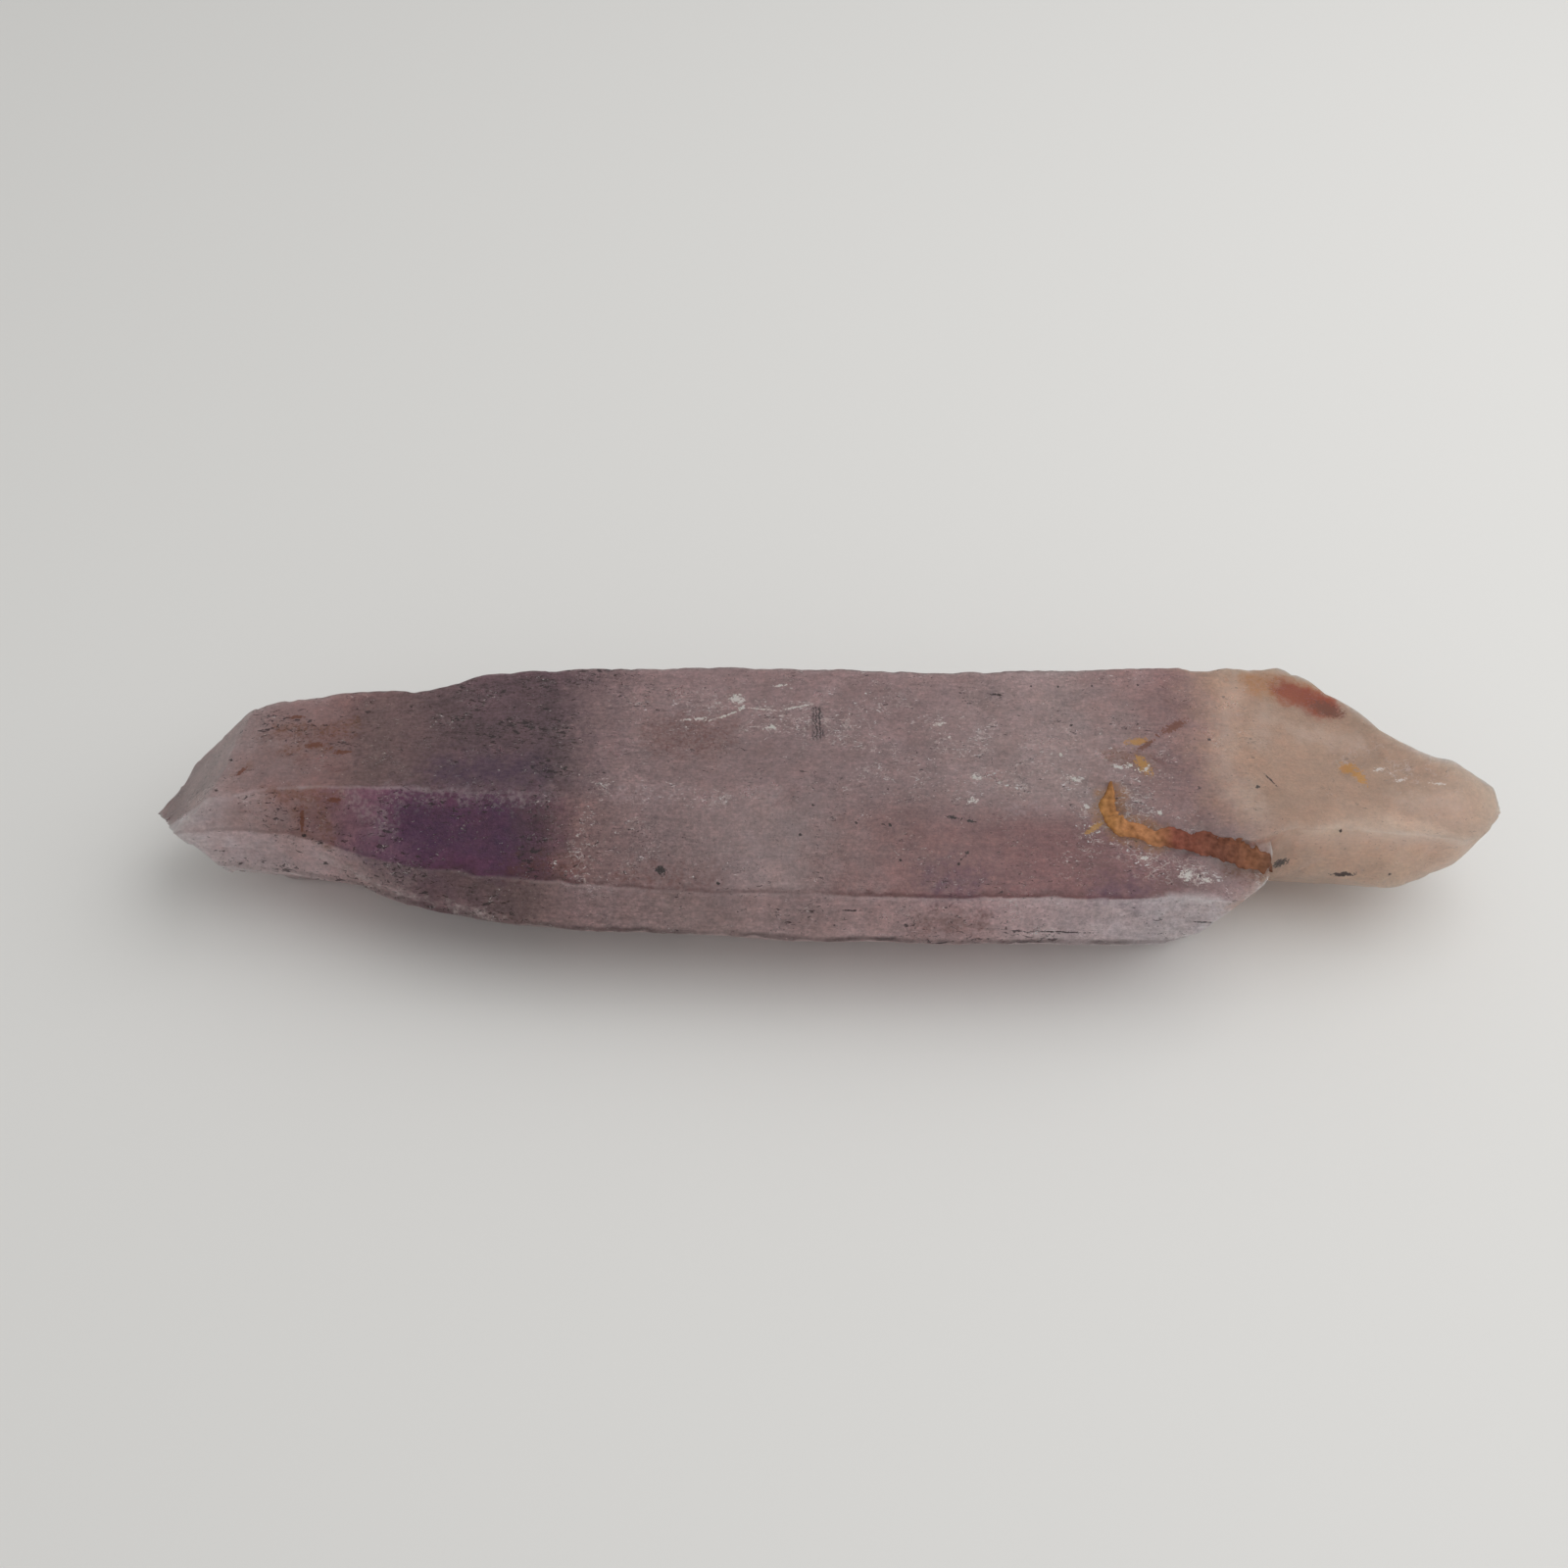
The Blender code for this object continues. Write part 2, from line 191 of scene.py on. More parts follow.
# The stone's colour marks
# Iron stains, purple growth zones, smoky clouds, frosted patches and scratches, all in or on the
# quartz. Each is a stroke: half its width in mm, then the places that it passes through.
STROKES = {
    "violet": [
        (1.2, [(-24.2, -3.9, 8.7), (-20.6, -4.0, 8.9)]),
        (0.6, [(-26.2, -4.4, 8.0), (-24.2, -5.0, 8.0)]),
        (1.0, [(-23.3, -3.0, 9.3), (-22.8, -4.6, 8.4)]),
        (0.9, [(-18.6, -3.0, 9.7), (-18.0, -5.4, 8.4)]),
        (1.0, [(-21.5, -0.6, 10.1), (-17.0, -0.6, 10.1)]),
        (0.5, [(6.0, -7.2, 8.7), (7.6, -7.1, 8.7)]),
        (0.5, [(15.3, -7.6, 8.7), (16.4, -7.6, 8.7)]),
    ],
    "smoke": [
        (0.9, [(-16.2, 4.7, 10.0), (-15.6, 2.1, 10.1), (-15.7, -0.4, 10.2)]),
        (0.9, [(-20.9, 2.5, 10.1), (-18.6, 2.1, 10.1)]),
        (0.5, [(-16.4, 6.1, 9.9)]),
        (0.5, [(-13.6, 6.8, 9.9)]),
        (0.4, [(-22.4, 4.6, 10.0), (-19.7, 5.8, 10.0), (-16.4, 6.9, 9.9), (-11.8, 7.4, 9.9)]),
        (0.35, [(9.7, 5.9, 9.9), (9.9, 5.0, 9.9)]),
        (0.15, [(-27.1, 4.4, 10.0), (-26.4, 0.0, 10.0)]),
        (0.3, [(-16.5, -3.2, 9.6), (-16.4, -4.9, 8.8)]),
    ],
    "umber": [
        (0.5, [(-32.3, 2.2, 9.9), (-27.8, 2.2, 10.0)]),
        (0.4, [(-31.0, 0.8, 10.0), (-29.5, 0.4, 10.0)]),
        (0.3, [(-27.9, 0.1, 10.0)]),
        (1.4, [(-9.4, 2.2, 10.0), (-6.6, 2.2, 10.0)]),
        (0.6, [(-11.1, -6.6, 8.4), (-6.1, -6.7, 8.6)]),
        (0.7, [(5.2, -8.8, 6.8), (8.1, -8.8, 6.8)]),
        (0.5, [(-17.4, -5.8, 8.3), (-14.1, -5.9, 8.5)]),
        (0.5, [(22.6, -6.6, 8.6), (24.2, -6.4, 8.5)]),
    ],
    "tan": [
        (0.5, [(-31.1, -2.0, 9.8), (-27.5, -2.1, 9.7)]),
        (0.2, [(-29.4, -2.5, 9.3), (-29.5, -3.5, 8.3)]),
        (0.35, [(-28.4, -2.5, 9.3), (-28.2, -3.9, 8.1)]),
        (0.35, [(-31.4, 2.9, 9.9), (-29.2, 2.6, 10.0), (-27.2, 2.9, 10.0)]),
        (0.3, [(-31.0, 1.2, 9.9), (-28.6, 1.4, 10.0)]),
        (0.5, [(16.4, 0.9, 9.6), (18.2, 0.6, 9.6)]),
        (0.18, [(-33.4, -0.6, 9.9), (-32.8, 0.1, 9.9)]),
    ],
    "seep": [
        (0.55, [(23.4, -6.3, 8.7), (24.3, -5.7, 8.5), (24.6, -5.1, 8.2)]),
        (0.35, [(21.8, -6.2, 8.8), (23.2, -6.4, 8.7)]),
    ],
    "ochre": [
        (0.9, [(25.4, 6.6, 9.5), (26.9, 6.4, 9.2), (28.6, 6.2, 8.9)]),
        (0.9, [(15.9, -2.0, 9.4), (15.6, -2.9, 9.2), (16.1, -3.6, 9.2), (18.0, -4.3, 9.0)]),
    ],
    "rust": [
        (0.85, [(27.2, 6.2, 9.2), (28.2, 5.9, 8.9), (29.2, 5.6, 8.9)]),
        (0.55, [(28.7, 5.1, 8.9), (29.6, 5.0, 8.8)]),
    ],
    "step": [
        (0.22, [(-28.3, -4.4, 7.1), (-27.4, -4.75, 6.6), (-26.4, -5.2, 6.3), (-25.0, -6.0, 6.2),
                (-23.5, -6.5, 6.2), (-21.6, -7.0, 6.2), (-20.0, -7.4, 6.0), (-18.2, -7.9, 5.8)]),
    ],
    "cloud": [
        (1.2, [(-5.8, -6.4, 8.6), (-3.0, -4.9, 9.2), (-0.9, -3.0, 9.8)]),
    ],
    "milk": [
        (0.5, [(24.9, 7.5, 9.6), (24.4, 7.0, 9.6), (23.4, 4.4, 9.4), (22.6, 0.0, 9.3)]),
        (0.9, [(23.2, -1.4, 9.2), (23.8, -2.4, 9.1)]),
        (0.5, [(24.8, 2.4, 9.2), (25.6, 4.4, 9.2)]),
        (0.6, [(27.6, 3.2, 9.0), (30.6, 2.6, 8.8)]),
        (0.5, [(32.5, -1.4, 8.4), (35.5, -1.8, 8.2)]),
        (0.45, [(25.6, -4.0, 8.1), (28.7, -3.8, 8.1), (31.6, -3.8, 8.0), (34.5, -3.8, 7.7),
                (36.5, -4.1, 7.2)]),
    ],
    "frost": [
        (0.3, [(-25.4, -2.1, 9.8), (-20.5, -2.1, 9.9), (-15.6, -2.5, 9.9)]),
        (0.6, [(-26.6, -2.2, 9.8), (-25.5, -2.8, 9.4), (-24.8, -3.5, 8.9)]),
        (0.35, [(-11.8, -2.2, 10.0), (-9.1, -2.2, 10.0)]),
        (0.3, [(10.0, -2.7, 9.5), (11.5, -2.7, 9.5)]),
        (0.15, [(-14.4, -7.0, 7.6), (-10.7, -7.2, 7.9)]),
    ],
    "grit_patch": [
        (0.9, [(-32.0, 2.8, 9.9), (-27.5, 2.4, 10.0)]),
        (1.2, [(-24.0, 5.6, 10.0), (-20.0, 5.8, 10.0), (-16.5, 6.4, 9.9), (-11.5, 7.2, 9.9)]),
        (1.5, [(-20.5, 3.0, 10.1), (-15.5, 2.6, 10.1)]),
        (0.8, [(-15.7, 2.0, 10.1), (-15.9, -2.4, 10.0), (-16.4, -5.5, 8.6)]),
        (0.5, [(-31.2, -2.4, 9.2), (-28.5, -3.8, 8.2), (-24.0, -4.0, 8.8)]),
        (0.4, [(-24.0, -2.6, 9.7), (-16.0, -2.7, 9.7)]),
        (0.6, [(-28.0, -5.0, 6.6), (-23.2, -6.0, 7.0), (-20.0, -7.1, 6.3), (-17.8, -7.7, 5.7)]),
        (0.5, [(5.0, -8.9, 5.8), (12.0, -9.1, 5.9)]),
        (0.3, [(-36.0, -3.9, 5.6), (-30.0, -4.6, 5.7), (-26.0, -5.6, 5.7)]),
    ],
    "sparkle_patch": [
        (1.0, [(-8.0, 3.6, 10.0), (-4.0, 4.4, 9.9), (-0.5, 4.4, 9.9), (2.6, 4.6, 9.9)]),
        (0.8, [(-2.6, 2.6, 10.0), (3.0, 2.0, 9.9)]),
        (0.6, [(-11.5, -2.3, 10.0), (-7.5, -2.3, 9.9), (-6.0, -1.8, 10.0)]),
        (0.8, [(-13.5, -3.5, 9.5), (-12.6, -6.4, 8.6)]),
        (1.0, [(3.0, -0.5, 9.8), (9.5, -1.2, 9.7)]),
        (1.0, [(5.4, 3.2, 9.8), (9.0, 2.0, 9.7)]),
        (1.2, [(12.6, 1.0, 9.6), (14.4, -1.6, 9.6)]),
        (0.9, [(16.0, 0.6, 9.6), (18.6, -0.4, 9.5)]),
        (0.7, [(16.6, -2.2, 9.4), (19.6, -3.0, 9.2)]),
        (0.5, [(15.0, -4.8, 9.1), (17.8, -5.9, 8.9)]),
        (0.6, [(19.2, -6.7, 8.8), (21.0, -7.0, 8.7)]),
        (0.8, [(31.0, 1.0, 8.7), (35.0, -0.3, 8.5)]),
    ],
}


FAR = 1000.0
SHORTEST_SQUARED = 1e-9


def stroke_distance(points, strokes):
    """How far each point lies beyond the edge of the nearest stroke, in mm, below 0 inside."""
    nearest = np.full(len(points), FAR)
    for half_width, path in strokes:
        path = np.array(path)
        ends = path[1:] if len(path) > 1 else path
        for start, end in zip(path, ends):
            along = end - start
            squared = max(float(along @ along), SHORTEST_SQUARED)
            share = np.clip((points - start) @ along / squared, 0, 1)
            gap = np.linalg.norm(points - start - share[:, None] * along, axis=1) - half_width
            nearest = np.minimum(nearest, gap)
    return nearest


def store(mesh, name, values):
    """Keeps one number for each point of the mesh, for its material to read."""
    layer = mesh.attributes.new(name, "FLOAT", "POINT")
    layer.data.foreach_set("value", np.asarray(values, dtype=np.float32))


for mark, strokes in STROKES.items():
    store(stone.data, mark, stroke_distance(places, strokes))

# Single dark grains, white chips and scratches, the white ones also painted glints: half the width
# in mm, then one place or both ends.
FLECKS = {
    "dark_fleck": [
        (0.22, [(-9.3, -6.3, 8.6), (-9.2, -6.35, 8.6)]),
        (0.10, [(-0.9, -2.7, 9.8)]),
        (0.08, [(1.5, -3.7, 9.5)]),
        (0.08, [(3.4, -3.8, 9.4)]),
        (0.11, [(-6.1, -7.1, 8.5)]),
        (0.08, [(-1.6, -4.4, 9.3)]),
        (0.08, [(3.9, -5.9, 9.0)]),
        (0.10, [(6.7, -3.3, 9.5), (7.1, -3.35, 9.5)]),
        (0.10, [(7.7, -3.5, 9.4), (8.1, -3.55, 9.4)]),
        (0.10, [(7.6, -5.4, 9.0)]),
        (0.08, [(7.1, -6.1, 8.9)]),
        (0.09, [(14.1, 3.1, 9.7)]),
        (0.09, [(22.0, 2.3, 9.4)]),
        (0.09, [(9.6, 5.4, 9.9), (10.2, 5.3, 9.9)]),
        (0.10, [(-33.9, 0.5, 9.8)]),
        (0.10, [(-34.3, -1.7, 9.8)]),
        (0.12, [(-29.4, -3.7, 8.2)]),
        (0.12, [(-28.5, -3.9, 7.9)]),
        (0.30, [(25.4, -4.3, 6.4), (25.9, -4.1, 6.2)]),
        (0.16, [(29.0, -4.2, 5.2), (29.9, -4.4, 5.5)]),
        (0.10, [(31.9, -4.7, 5.9)]),
        (0.08, [(28.7, -3.4, 8.3)]),
        (0.10, [(24.3, -1.0, 9.2)]),
        (0.06, [(24.9, -0.1, 9.2), (25.4, -0.8, 9.1)]),
        (0.07, [(12.0, 6.0, 9.9)]),
        (0.07, [(13.6, 6.0, 9.8)]),
        (0.07, [(15.6, 6.1, 9.8)]),
        (0.07, [(18.3, 6.2, 9.7)]),
        (0.05, [(11.3, -9.0, 6.4), (14.3, -9.1, 6.4)]),
        (0.05, [(5.4, -8.8, 5.3), (6.8, -9.0, 5.7)]),
        (0.05, [(0.8, -8.3, 7.5), (1.6, -8.3, 7.5)]),
        (0.05, [(19.9, -8.8, 7.1), (20.9, -8.7, 7.0)]),
    ],
    "russet_fleck": [
        (0.27, [(19.5, 2.8, 9.6), (20.6, 3.5, 9.6)]),
        (0.17, [(17.9, 1.5, 9.6), (18.7, 2.1, 9.6)]),
        (0.20, [(-29.7, 1.4, 9.9), (-28.9, 1.5, 9.9)]),
        (0.16, [(-28.0, 0.9, 10.0), (-27.3, 0.9, 10.0)]),
        (0.14, [(-31.0, 3.6, 9.9), (-30.4, 3.6, 9.9)]),
        (0.14, [(-33.3, -0.5, 9.8), (-33.0, -0.2, 9.8)]),
        (0.12, [(-29.5, -2.6, 9.2), (-29.5, -3.4, 8.4)]),
        (0.14, [(-27.9, -2.2, 9.6), (-27.4, -2.2, 9.6)]),
        (0.3, [(22.4, -4.9, 8.8), (23.0, -5.1, 8.8)]),
        (0.50, [(29.1, 5.3, 8.8), (29.8, 4.9, 8.7)]),
    ],
    "amber_fleck": [
        (0.38, [(29.8, 0.9, 8.7), (30.1, 0.7, 8.7)]),
        (0.25, [(30.4, 0.3, 8.6), (30.6, -0.1, 8.6)]),
        (0.22, [(17.3, 1.95, 9.6), (18.4, 2.1, 9.6)]),
        (0.34, [(17.8, 0.7, 9.6), (18.1, 0.0, 9.5)]),
        (0.16, [(14.4, -4.1, 9.2), (15.1, -3.6, 9.3)]),
    ],
    # White chips, which also stand in for glints: painted highlights.
    "white_chip_and_glint_fleck": [
        (0.26, [(-5.3, 5.0, 10.0), (-5.0, 4.8, 10.0)]),
        (0.16, [(-3.4, 2.8, 9.95), (-3.1, 2.85, 9.95)]),
        (0.07, [(-2.9, 6.0, 9.9), (-2.5, 6.05, 9.9)]),
        (0.09, [(-7.6, 3.4, 10.0), (-7.2, 3.3, 10.0)]),
        (0.10, [(6.3, 3.1, 9.8), (6.7, 3.2, 9.8)]),
        (0.09, [(7.0, 2.2, 9.8)]),
        (0.15, [(8.2, -0.6, 9.7), (8.5, -0.65, 9.7)]),
        (0.15, [(7.9, -2.3, 9.6), (8.2, -2.25, 9.6)]),
        (0.10, [(13.3, 1.0, 9.65)]),
        (0.14, [(13.7, -0.6, 9.6), (14.1, -0.7, 9.6)]),
        (0.12, [(14.3, -2.6, 9.5), (14.6, -2.5, 9.5)]),
        (0.12, [(16.3, 0.2, 9.6), (16.6, 0.1, 9.6)]),
        (0.13, [(17.2, 0.3, 9.6)]),
        (0.10, [(18.0, 0.0, 9.5), (18.2, 0.2, 9.5)]),
        (0.12, [(18.5, -2.9, 9.3)]),
        (0.12, [(17.2, -5.7, 9.0), (17.5, -5.8, 9.0)]),
        (0.24, [(19.5, -6.75, 8.8), (19.7, -6.7, 8.8)]),
        (0.12, [(20.4, -7.0, 8.7), (20.8, -7.05, 8.7)]),
        (0.09, [(31.5, 0.7, 8.7), (32.0, 0.8, 8.7)]),
        (0.10, [(32.7, 0.0, 8.6), (33.0, 0.1, 8.6)]),
        (0.08, [(34.6, -0.2, 8.5), (35.1, -0.3, 8.5)]),
        (0.05, [(-8.3, 3.3, 10.0), (-7.0, 3.5, 10.0)]),
        (0.05, [(-6.5, 3.4, 10.0), (-5.2, 4.0, 10.0)]),
        (0.04, [(-4.6, 4.3, 9.9), (-3.0, 4.1, 9.9)]),
        (0.05, [(-2.4, 4.2, 9.9), (-1.1, 4.5, 9.9)]),
    ],
}


# What is kept where a point has nothing to do with a fleck or a ridge, and the most that is kept.
BEYOND = 9.0


def store_flecks(mesh, name, points, flecks):
    """Keeps, for each point, its place beside the nearest fleck, in lengths and widths of it."""
    nearest = np.full(len(points), FAR)
    beside = np.full((len(points), 3), BEYOND)
    for half_width, path in flecks:
        start, end = np.array(path[0]), np.array(path[-1])
        gap = stroke_distance(points, [(half_width, path)])
        closest = normals[np.argmin(gap)]
        along = end - start if len(path) > 1 else np.array((1.0, 0.0, 0.0))
        along = along / np.linalg.norm(along)
        across = np.cross(closest, along)
        half_length = np.linalg.norm(end - start) / 2 + half_width
        offset = points - (start + end) / 2
        local = np.stack([offset @ along / half_length, offset @ across / half_width,
                          np.clip(gap, 0, BEYOND)], axis=1)
        nearer = gap < nearest
        beside[nearer] = local[nearer]
        nearest = np.minimum(nearest, gap)
    layer = mesh.attributes.new(name, "FLOAT_VECTOR", "POINT")
    layer.data.foreach_set("vector", beside.astype(np.float32).ravel())


for mark, flecks in FLECKS.items():
    store_flecks(stone.data, mark, places, flecks)

# The ridges between the top, the upper front and the front, as x with y, and x with z, in mm.
TOP_RIDGE = [(-38.0, -2.4), (-33.6, -2.2), (-32.1, -1.7), (-29.9, -1.6), (-24.4, -1.7),
             (-18.9, -2.0), (-11.2, -2.3), (-2.5, -2.4), (10.0, -2.9), (19.0, -3.3), (23.5, -3.3),
             (26.0, -3.4), (33.5, -3.1), (39.0, -3.4)]
FRONT_RIDGE = [(-38.0, 7.9), (-35.5, 8.0), (-31.9, 7.95), (-29.7, 8.05), (-28.0, 7.9),
               (-26.1, 7.7), (-23.7, 7.7), (-20.0, 7.75), (-16.2, 7.9), (-12.0, 7.95), (-7.9, 8.0),
               (-2.5, 8.2), (8.2, 8.3), (18.8, 8.55), (23.5, 8.5), (24.6, 8.6), (25.7, 8.85),
               (28.9, 8.6), (31.4, 8.4), (34.4, 8.1), (35.9, 7.75), (37.4, 7.3), (38.7, 6.6)]
# The ridge between the top and the back, as x with y, its lowest height and where it ends.
BACK_RIDGE = [(-40.5, 2.1), (-33.7, 4.2), (-32.5, 4.8), (-28.8, 5.4), (-22.9, 5.8), (-21.5, 6.5),
              (-19.8, 7.2), (-14.1, 7.5), (-2.5, 7.5), (6.7, 7.1), (16.6, 7.4), (21.5, 7.6)]
BACK_RIDGE_LOWEST = 8.5
BACK_RIDGE_END = 22.0
# The lowest edge of the front, as x with z, and where it ends.
FRONT_WAIST = [(-38.0, 5.5), (-24.6, 5.6), (-17.0, 5.6), (-2.5, 5.75), (8.0, 5.65), (24.0, 5.7)]
FRONT_WAIST_END = 22.5
ridge_y = np.interp(places[:, 0], *zip(*TOP_RIDGE))
ridge_z = np.interp(places[:, 0], *zip(*FRONT_RIDGE))
store(stone.data, "before_top_ridge", ridge_y - places[:, 1])
# The front ends at the point's bevel and doesn't reach round to the back.
BEVEL_PLACE = np.array((-33.6, 3.3, 10.0))
BEVEL_FACING = np.array((-0.661, 0.13, 0.739))
BEVEL_WEAR = 0.3
FRONT_BACK = -1.0
below_bevel = (BEVEL_PLACE - places) @ BEVEL_FACING - BEVEL_WEAR
on_front = np.minimum(below_bevel, FRONT_BACK - places[:, 1])
store(stone.data, "below_front_ridge", np.minimum(ridge_z - places[:, 2], on_front))
back_y = np.interp(places[:, 0], *zip(*BACK_RIDGE))
on_back_ridge = (places[:, 2] > BACK_RIDGE_LOWEST) & (places[:, 0] < BACK_RIDGE_END)
before_back = np.where(on_back_ridge, back_y - places[:, 1], BEYOND)
store(stone.data, "before_back_ridge", before_back)
waist_z = np.interp(places[:, 0], *zip(*FRONT_WAIST))
on_waist = (places[:, 1] < 0) & (places[:, 0] < FRONT_WAIST_END)
above_waist = np.where(on_waist, places[:, 2] - waist_z, BEYOND)
store(stone.data, "above_waist", above_waist)

bpy.ops.object.shade_smooth_by_angle(angle=SHADE_ANGLE)


def linear(hex_colour):
    """An sRGB hex colour as linear red, green, blue and alpha."""
    parts = [int(hex_colour[i:i + 2], 16) / 255 for i in (1, 3, 5)]
    parts = [p / 12.92 if p <= 0.04045 else ((p + 0.055) / 1.055) ** 2.4 for p in parts]
    return (*parts, 1.0)


def add_node(tree, kind, links=None, values=None, **settings):
    """Adds one node with its settings, its socket values and the sockets that feed it."""
    node = tree.nodes.new(kind)
    for name, value in settings.items():
        setattr(node, name, value)
    for socket, value in (values or {}).items():
        node.inputs[socket].default_value = value
    for socket, source in (links or {}).items():
        tree.links.new(source, node.inputs[socket])
    return node


# Natural quartz, hazy with fine inclusions and etched all over: see-through but milky, with a
# dull satin surface. Purple where iron coloured it, peach and cloudy at the base.
quartz = bpy.data.materials.new("etched_amethyst_quartz")
quartz.use_nodes = True
tree = quartz.node_tree
tree.nodes.clear()
coordinates = add_node(tree, "ShaderNodeTexCoord")
mm = add_node(tree, "ShaderNodeVectorMath", {0: coordinates.outputs["Object"]},
              {"Scale": 1 / MM}, operation="SCALE").outputs[0]

# Growth zones run across the crystal, so the colours follow its length, with mottled borders:
# wide waves and finer tongues, each with its spacing and its reach in mm.
ZONE_START = -39.5
ZONE_END = 39.5
WAVE_SCALE = 0.35
WAVE_REACH = 1.6
TONGUE_SCALE = 0.75
TONGUE_REACH = 2.0
wave = add_node(tree, "ShaderNodeTexNoise", {"Vector": mm}, {"Scale": WAVE_SCALE, "Detail": 4.0})
hue_noise = add_node(tree, "ShaderNodeTexNoise", {"Vector": mm},
                     {"Scale": TONGUE_SCALE, "Detail": 5.0, "Roughness": 0.6})
split_mm = add_node(tree, "ShaderNodeSeparateXYZ", {0: mm})
zone_x = split_mm.outputs["X"]
for warp, reach in ((wave, WAVE_REACH), (hue_noise, TONGUE_REACH)):
    shift = add_node(tree, "ShaderNodeMath", {0: warp.outputs["Fac"]}, {1: 0.5},
                     operation="SUBTRACT")
    zone_x = add_node(tree, "ShaderNodeMath", {0: shift.outputs[0], 2: zone_x},
                      {1: reach * 2}, operation="MULTIPLY_ADD").outputs[0]
zone_share = add_node(tree, "ShaderNodeMapRange", {"Value": zone_x},
                      {"From Min": ZONE_START, "From Max": ZONE_END})

# The colours of the stone. They are paler than they look, because haze darkens them.
QUARTZ = {
    "lilac_white": "#ece2e4",
    "pale_rose": "#d4b8b8",
    "pale_mauve": "#bea6a4",
    "dusty_mauve": "#b29696",
    "warm_mauve": "#aa8482",
    "rose": "#a67676",
    "violet_mauve": "#a06a84",
    "violet": "#743860",
    "plum": "#704454",
    "smoke": "#907270",
    "dark_smoke": "#806068",
    "tan": "#bc967c",
    "smoky_peach": "#c4a68e",
    "peach": "#d2b098",
    "pale_peach": "#e6ccb6",
}
ZONES_AND_PAINTED_GLOW = {
    "top": [(-39, "smoke"), (-34, "pale_mauve"), (-28, "warm_mauve"), (-26, "smoke"),
            (-20, "dark_smoke"), (-16, "dark_smoke"), (-11, "dusty_mauve"), (4, "dusty_mauve"),
            (14, "pale_mauve"), (20, "warm_mauve"), (24, "peach"), (32, "smoky_peach"),
            (39, "pale_peach")],
    "shoulder": [(-39, "lilac_white"), (-32, "pale_mauve"), (-29.5, "warm_mauve"),
                 (-25, "violet_mauve"), (-23, "violet"), (-18, "violet"), (-16, "plum"),
                 (-13.5, "warm_mauve"), (-10, "dusty_mauve"), (-2.5, "pale_mauve"),
                 (3, "warm_mauve"), (12, "rose"), (18, "rose"), (22, "dusty_mauve"),
                 (26, "peach"), (39, "pale_peach")],
    # painted paler than the top: a painted glow of light through the stone
    "front": [(-39, "lilac_white"), (-28, "pale_rose"), (-26, "dusty_mauve"),
              (-22, "dark_smoke"), (-17, "smoke"), (-14, "dusty_mauve"), (-8, "pale_mauve"),
              (8, "pale_rose"), (18, "lilac_white"), (21.5, "lilac_white"), (23.6, "tan"),
              (27, "pale_peach"), (39, "pale_peach")],
}
zone_colour = {}
for face, stops in ZONES_AND_PAINTED_GLOW.items():
    node = add_node(tree, "ShaderNodeValToRGB", {0: zone_share.outputs[0]})
    elements = node.color_ramp.elements
    while len(elements) < len(stops):
        elements.new(0.5)
    for element, (x, tint) in zip(elements, stops):
        element.position = (x - ZONE_START) / (ZONE_END - ZONE_START)
        element.color = linear(QUARTZ[tint])
    zone_colour[face] = node.outputs["Color"]

# Each face has its own zones. The upper front looks through a deeper layer of the stone, so its
# purple differs from the top's, and the front and the point's tip are painted paler: a painted glow
# for the light that passes through the stone to them.
# The ridge between the top and the upper front is crisp at the point and worn soft further on.
colour = zone_colour["top"]
FACES = {"shoulder": ("before_top_ridge", 0.2, 1.5), "front": ("below_front_ridge", 0.08, 0.08)}
CRISP_TO = -20.0
SOFT_FROM = -8.0
for face, (border, crisp, soft) in FACES.items():
    past = add_node(tree, "ShaderNodeAttribute", attribute_name=border).outputs["Fac"]
    blur = add_node(tree, "ShaderNodeMapRange", {"Value": split_mm.outputs["X"]},
                    {"From Min": CRISP_TO, "From Max": SOFT_FROM, "To Min": crisp,
                     "To Max": soft})
    step_share = add_node(tree, "ShaderNodeMath", {0: past, 1: blur.outputs[0]},
                          operation="DIVIDE")
    share = add_node(tree, "ShaderNodeMapRange", {"Value": step_share.outputs[0]},
                     {"From Min": -1.0, "From Max": 1.0}, interpolation_type="SMOOTHSTEP")
    colour = add_node(tree, "ShaderNodeMix",
                      {"Factor": share.outputs[0], 6: colour, 7: zone_colour[face]},
                      data_type="RGBA").outputs[2]

# Cloudy veils, 2 to 5 mm across, lighter and darker than the stone around them.
VEIL_SCALE = 0.3
veil = add_node(tree, "ShaderNodeTexNoise", {"Vector": mm},
                {"Scale": VEIL_SCALE, "Detail": 6.0, "Roughness": 0.62})
veil_level = add_node(tree, "ShaderNodeMapRange", {"Value": veil.outputs["Fac"]},
                      {"From Min": 0.3, "From Max": 0.7, "To Min": 0.84, "To Max": 1.16})
colour = add_node(tree, "ShaderNodeVectorMath", {0: colour, "Scale": veil_level.outputs[0]},
                  operation="SCALE").outputs[0]

# Warm and cool patches, 1 to 3 mm across, and the fine frosting of the etched faces.
warmth = add_node(tree, "ShaderNodeMapRange", {"Value": hue_noise.outputs["Fac"]},
                  {"From Min": 0.35, "From Max": 0.65})
hue = add_node(tree, "ShaderNodeMix", {"Factor": warmth.outputs[0]},
               {6: (0.98, 1.0, 1.02, 1.0), 7: (1.025, 0.995, 0.985, 1.0)}, data_type="RGBA")
colour = add_node(tree, "ShaderNodeVectorMath", {0: colour, 1: hue.outputs[2]},
                  operation="MULTIPLY").outputs[0]
# Each row: length, width and height of its grain in mm, and its contrast.
FROSTING = ((0.8, 0.16, 0.16, 0.14), (0.22, 0.20, 0.20, 0.26), (0.7, 0.50, 0.50, 0.15),
            (3.5, 0.45, 0.45, 0.05))
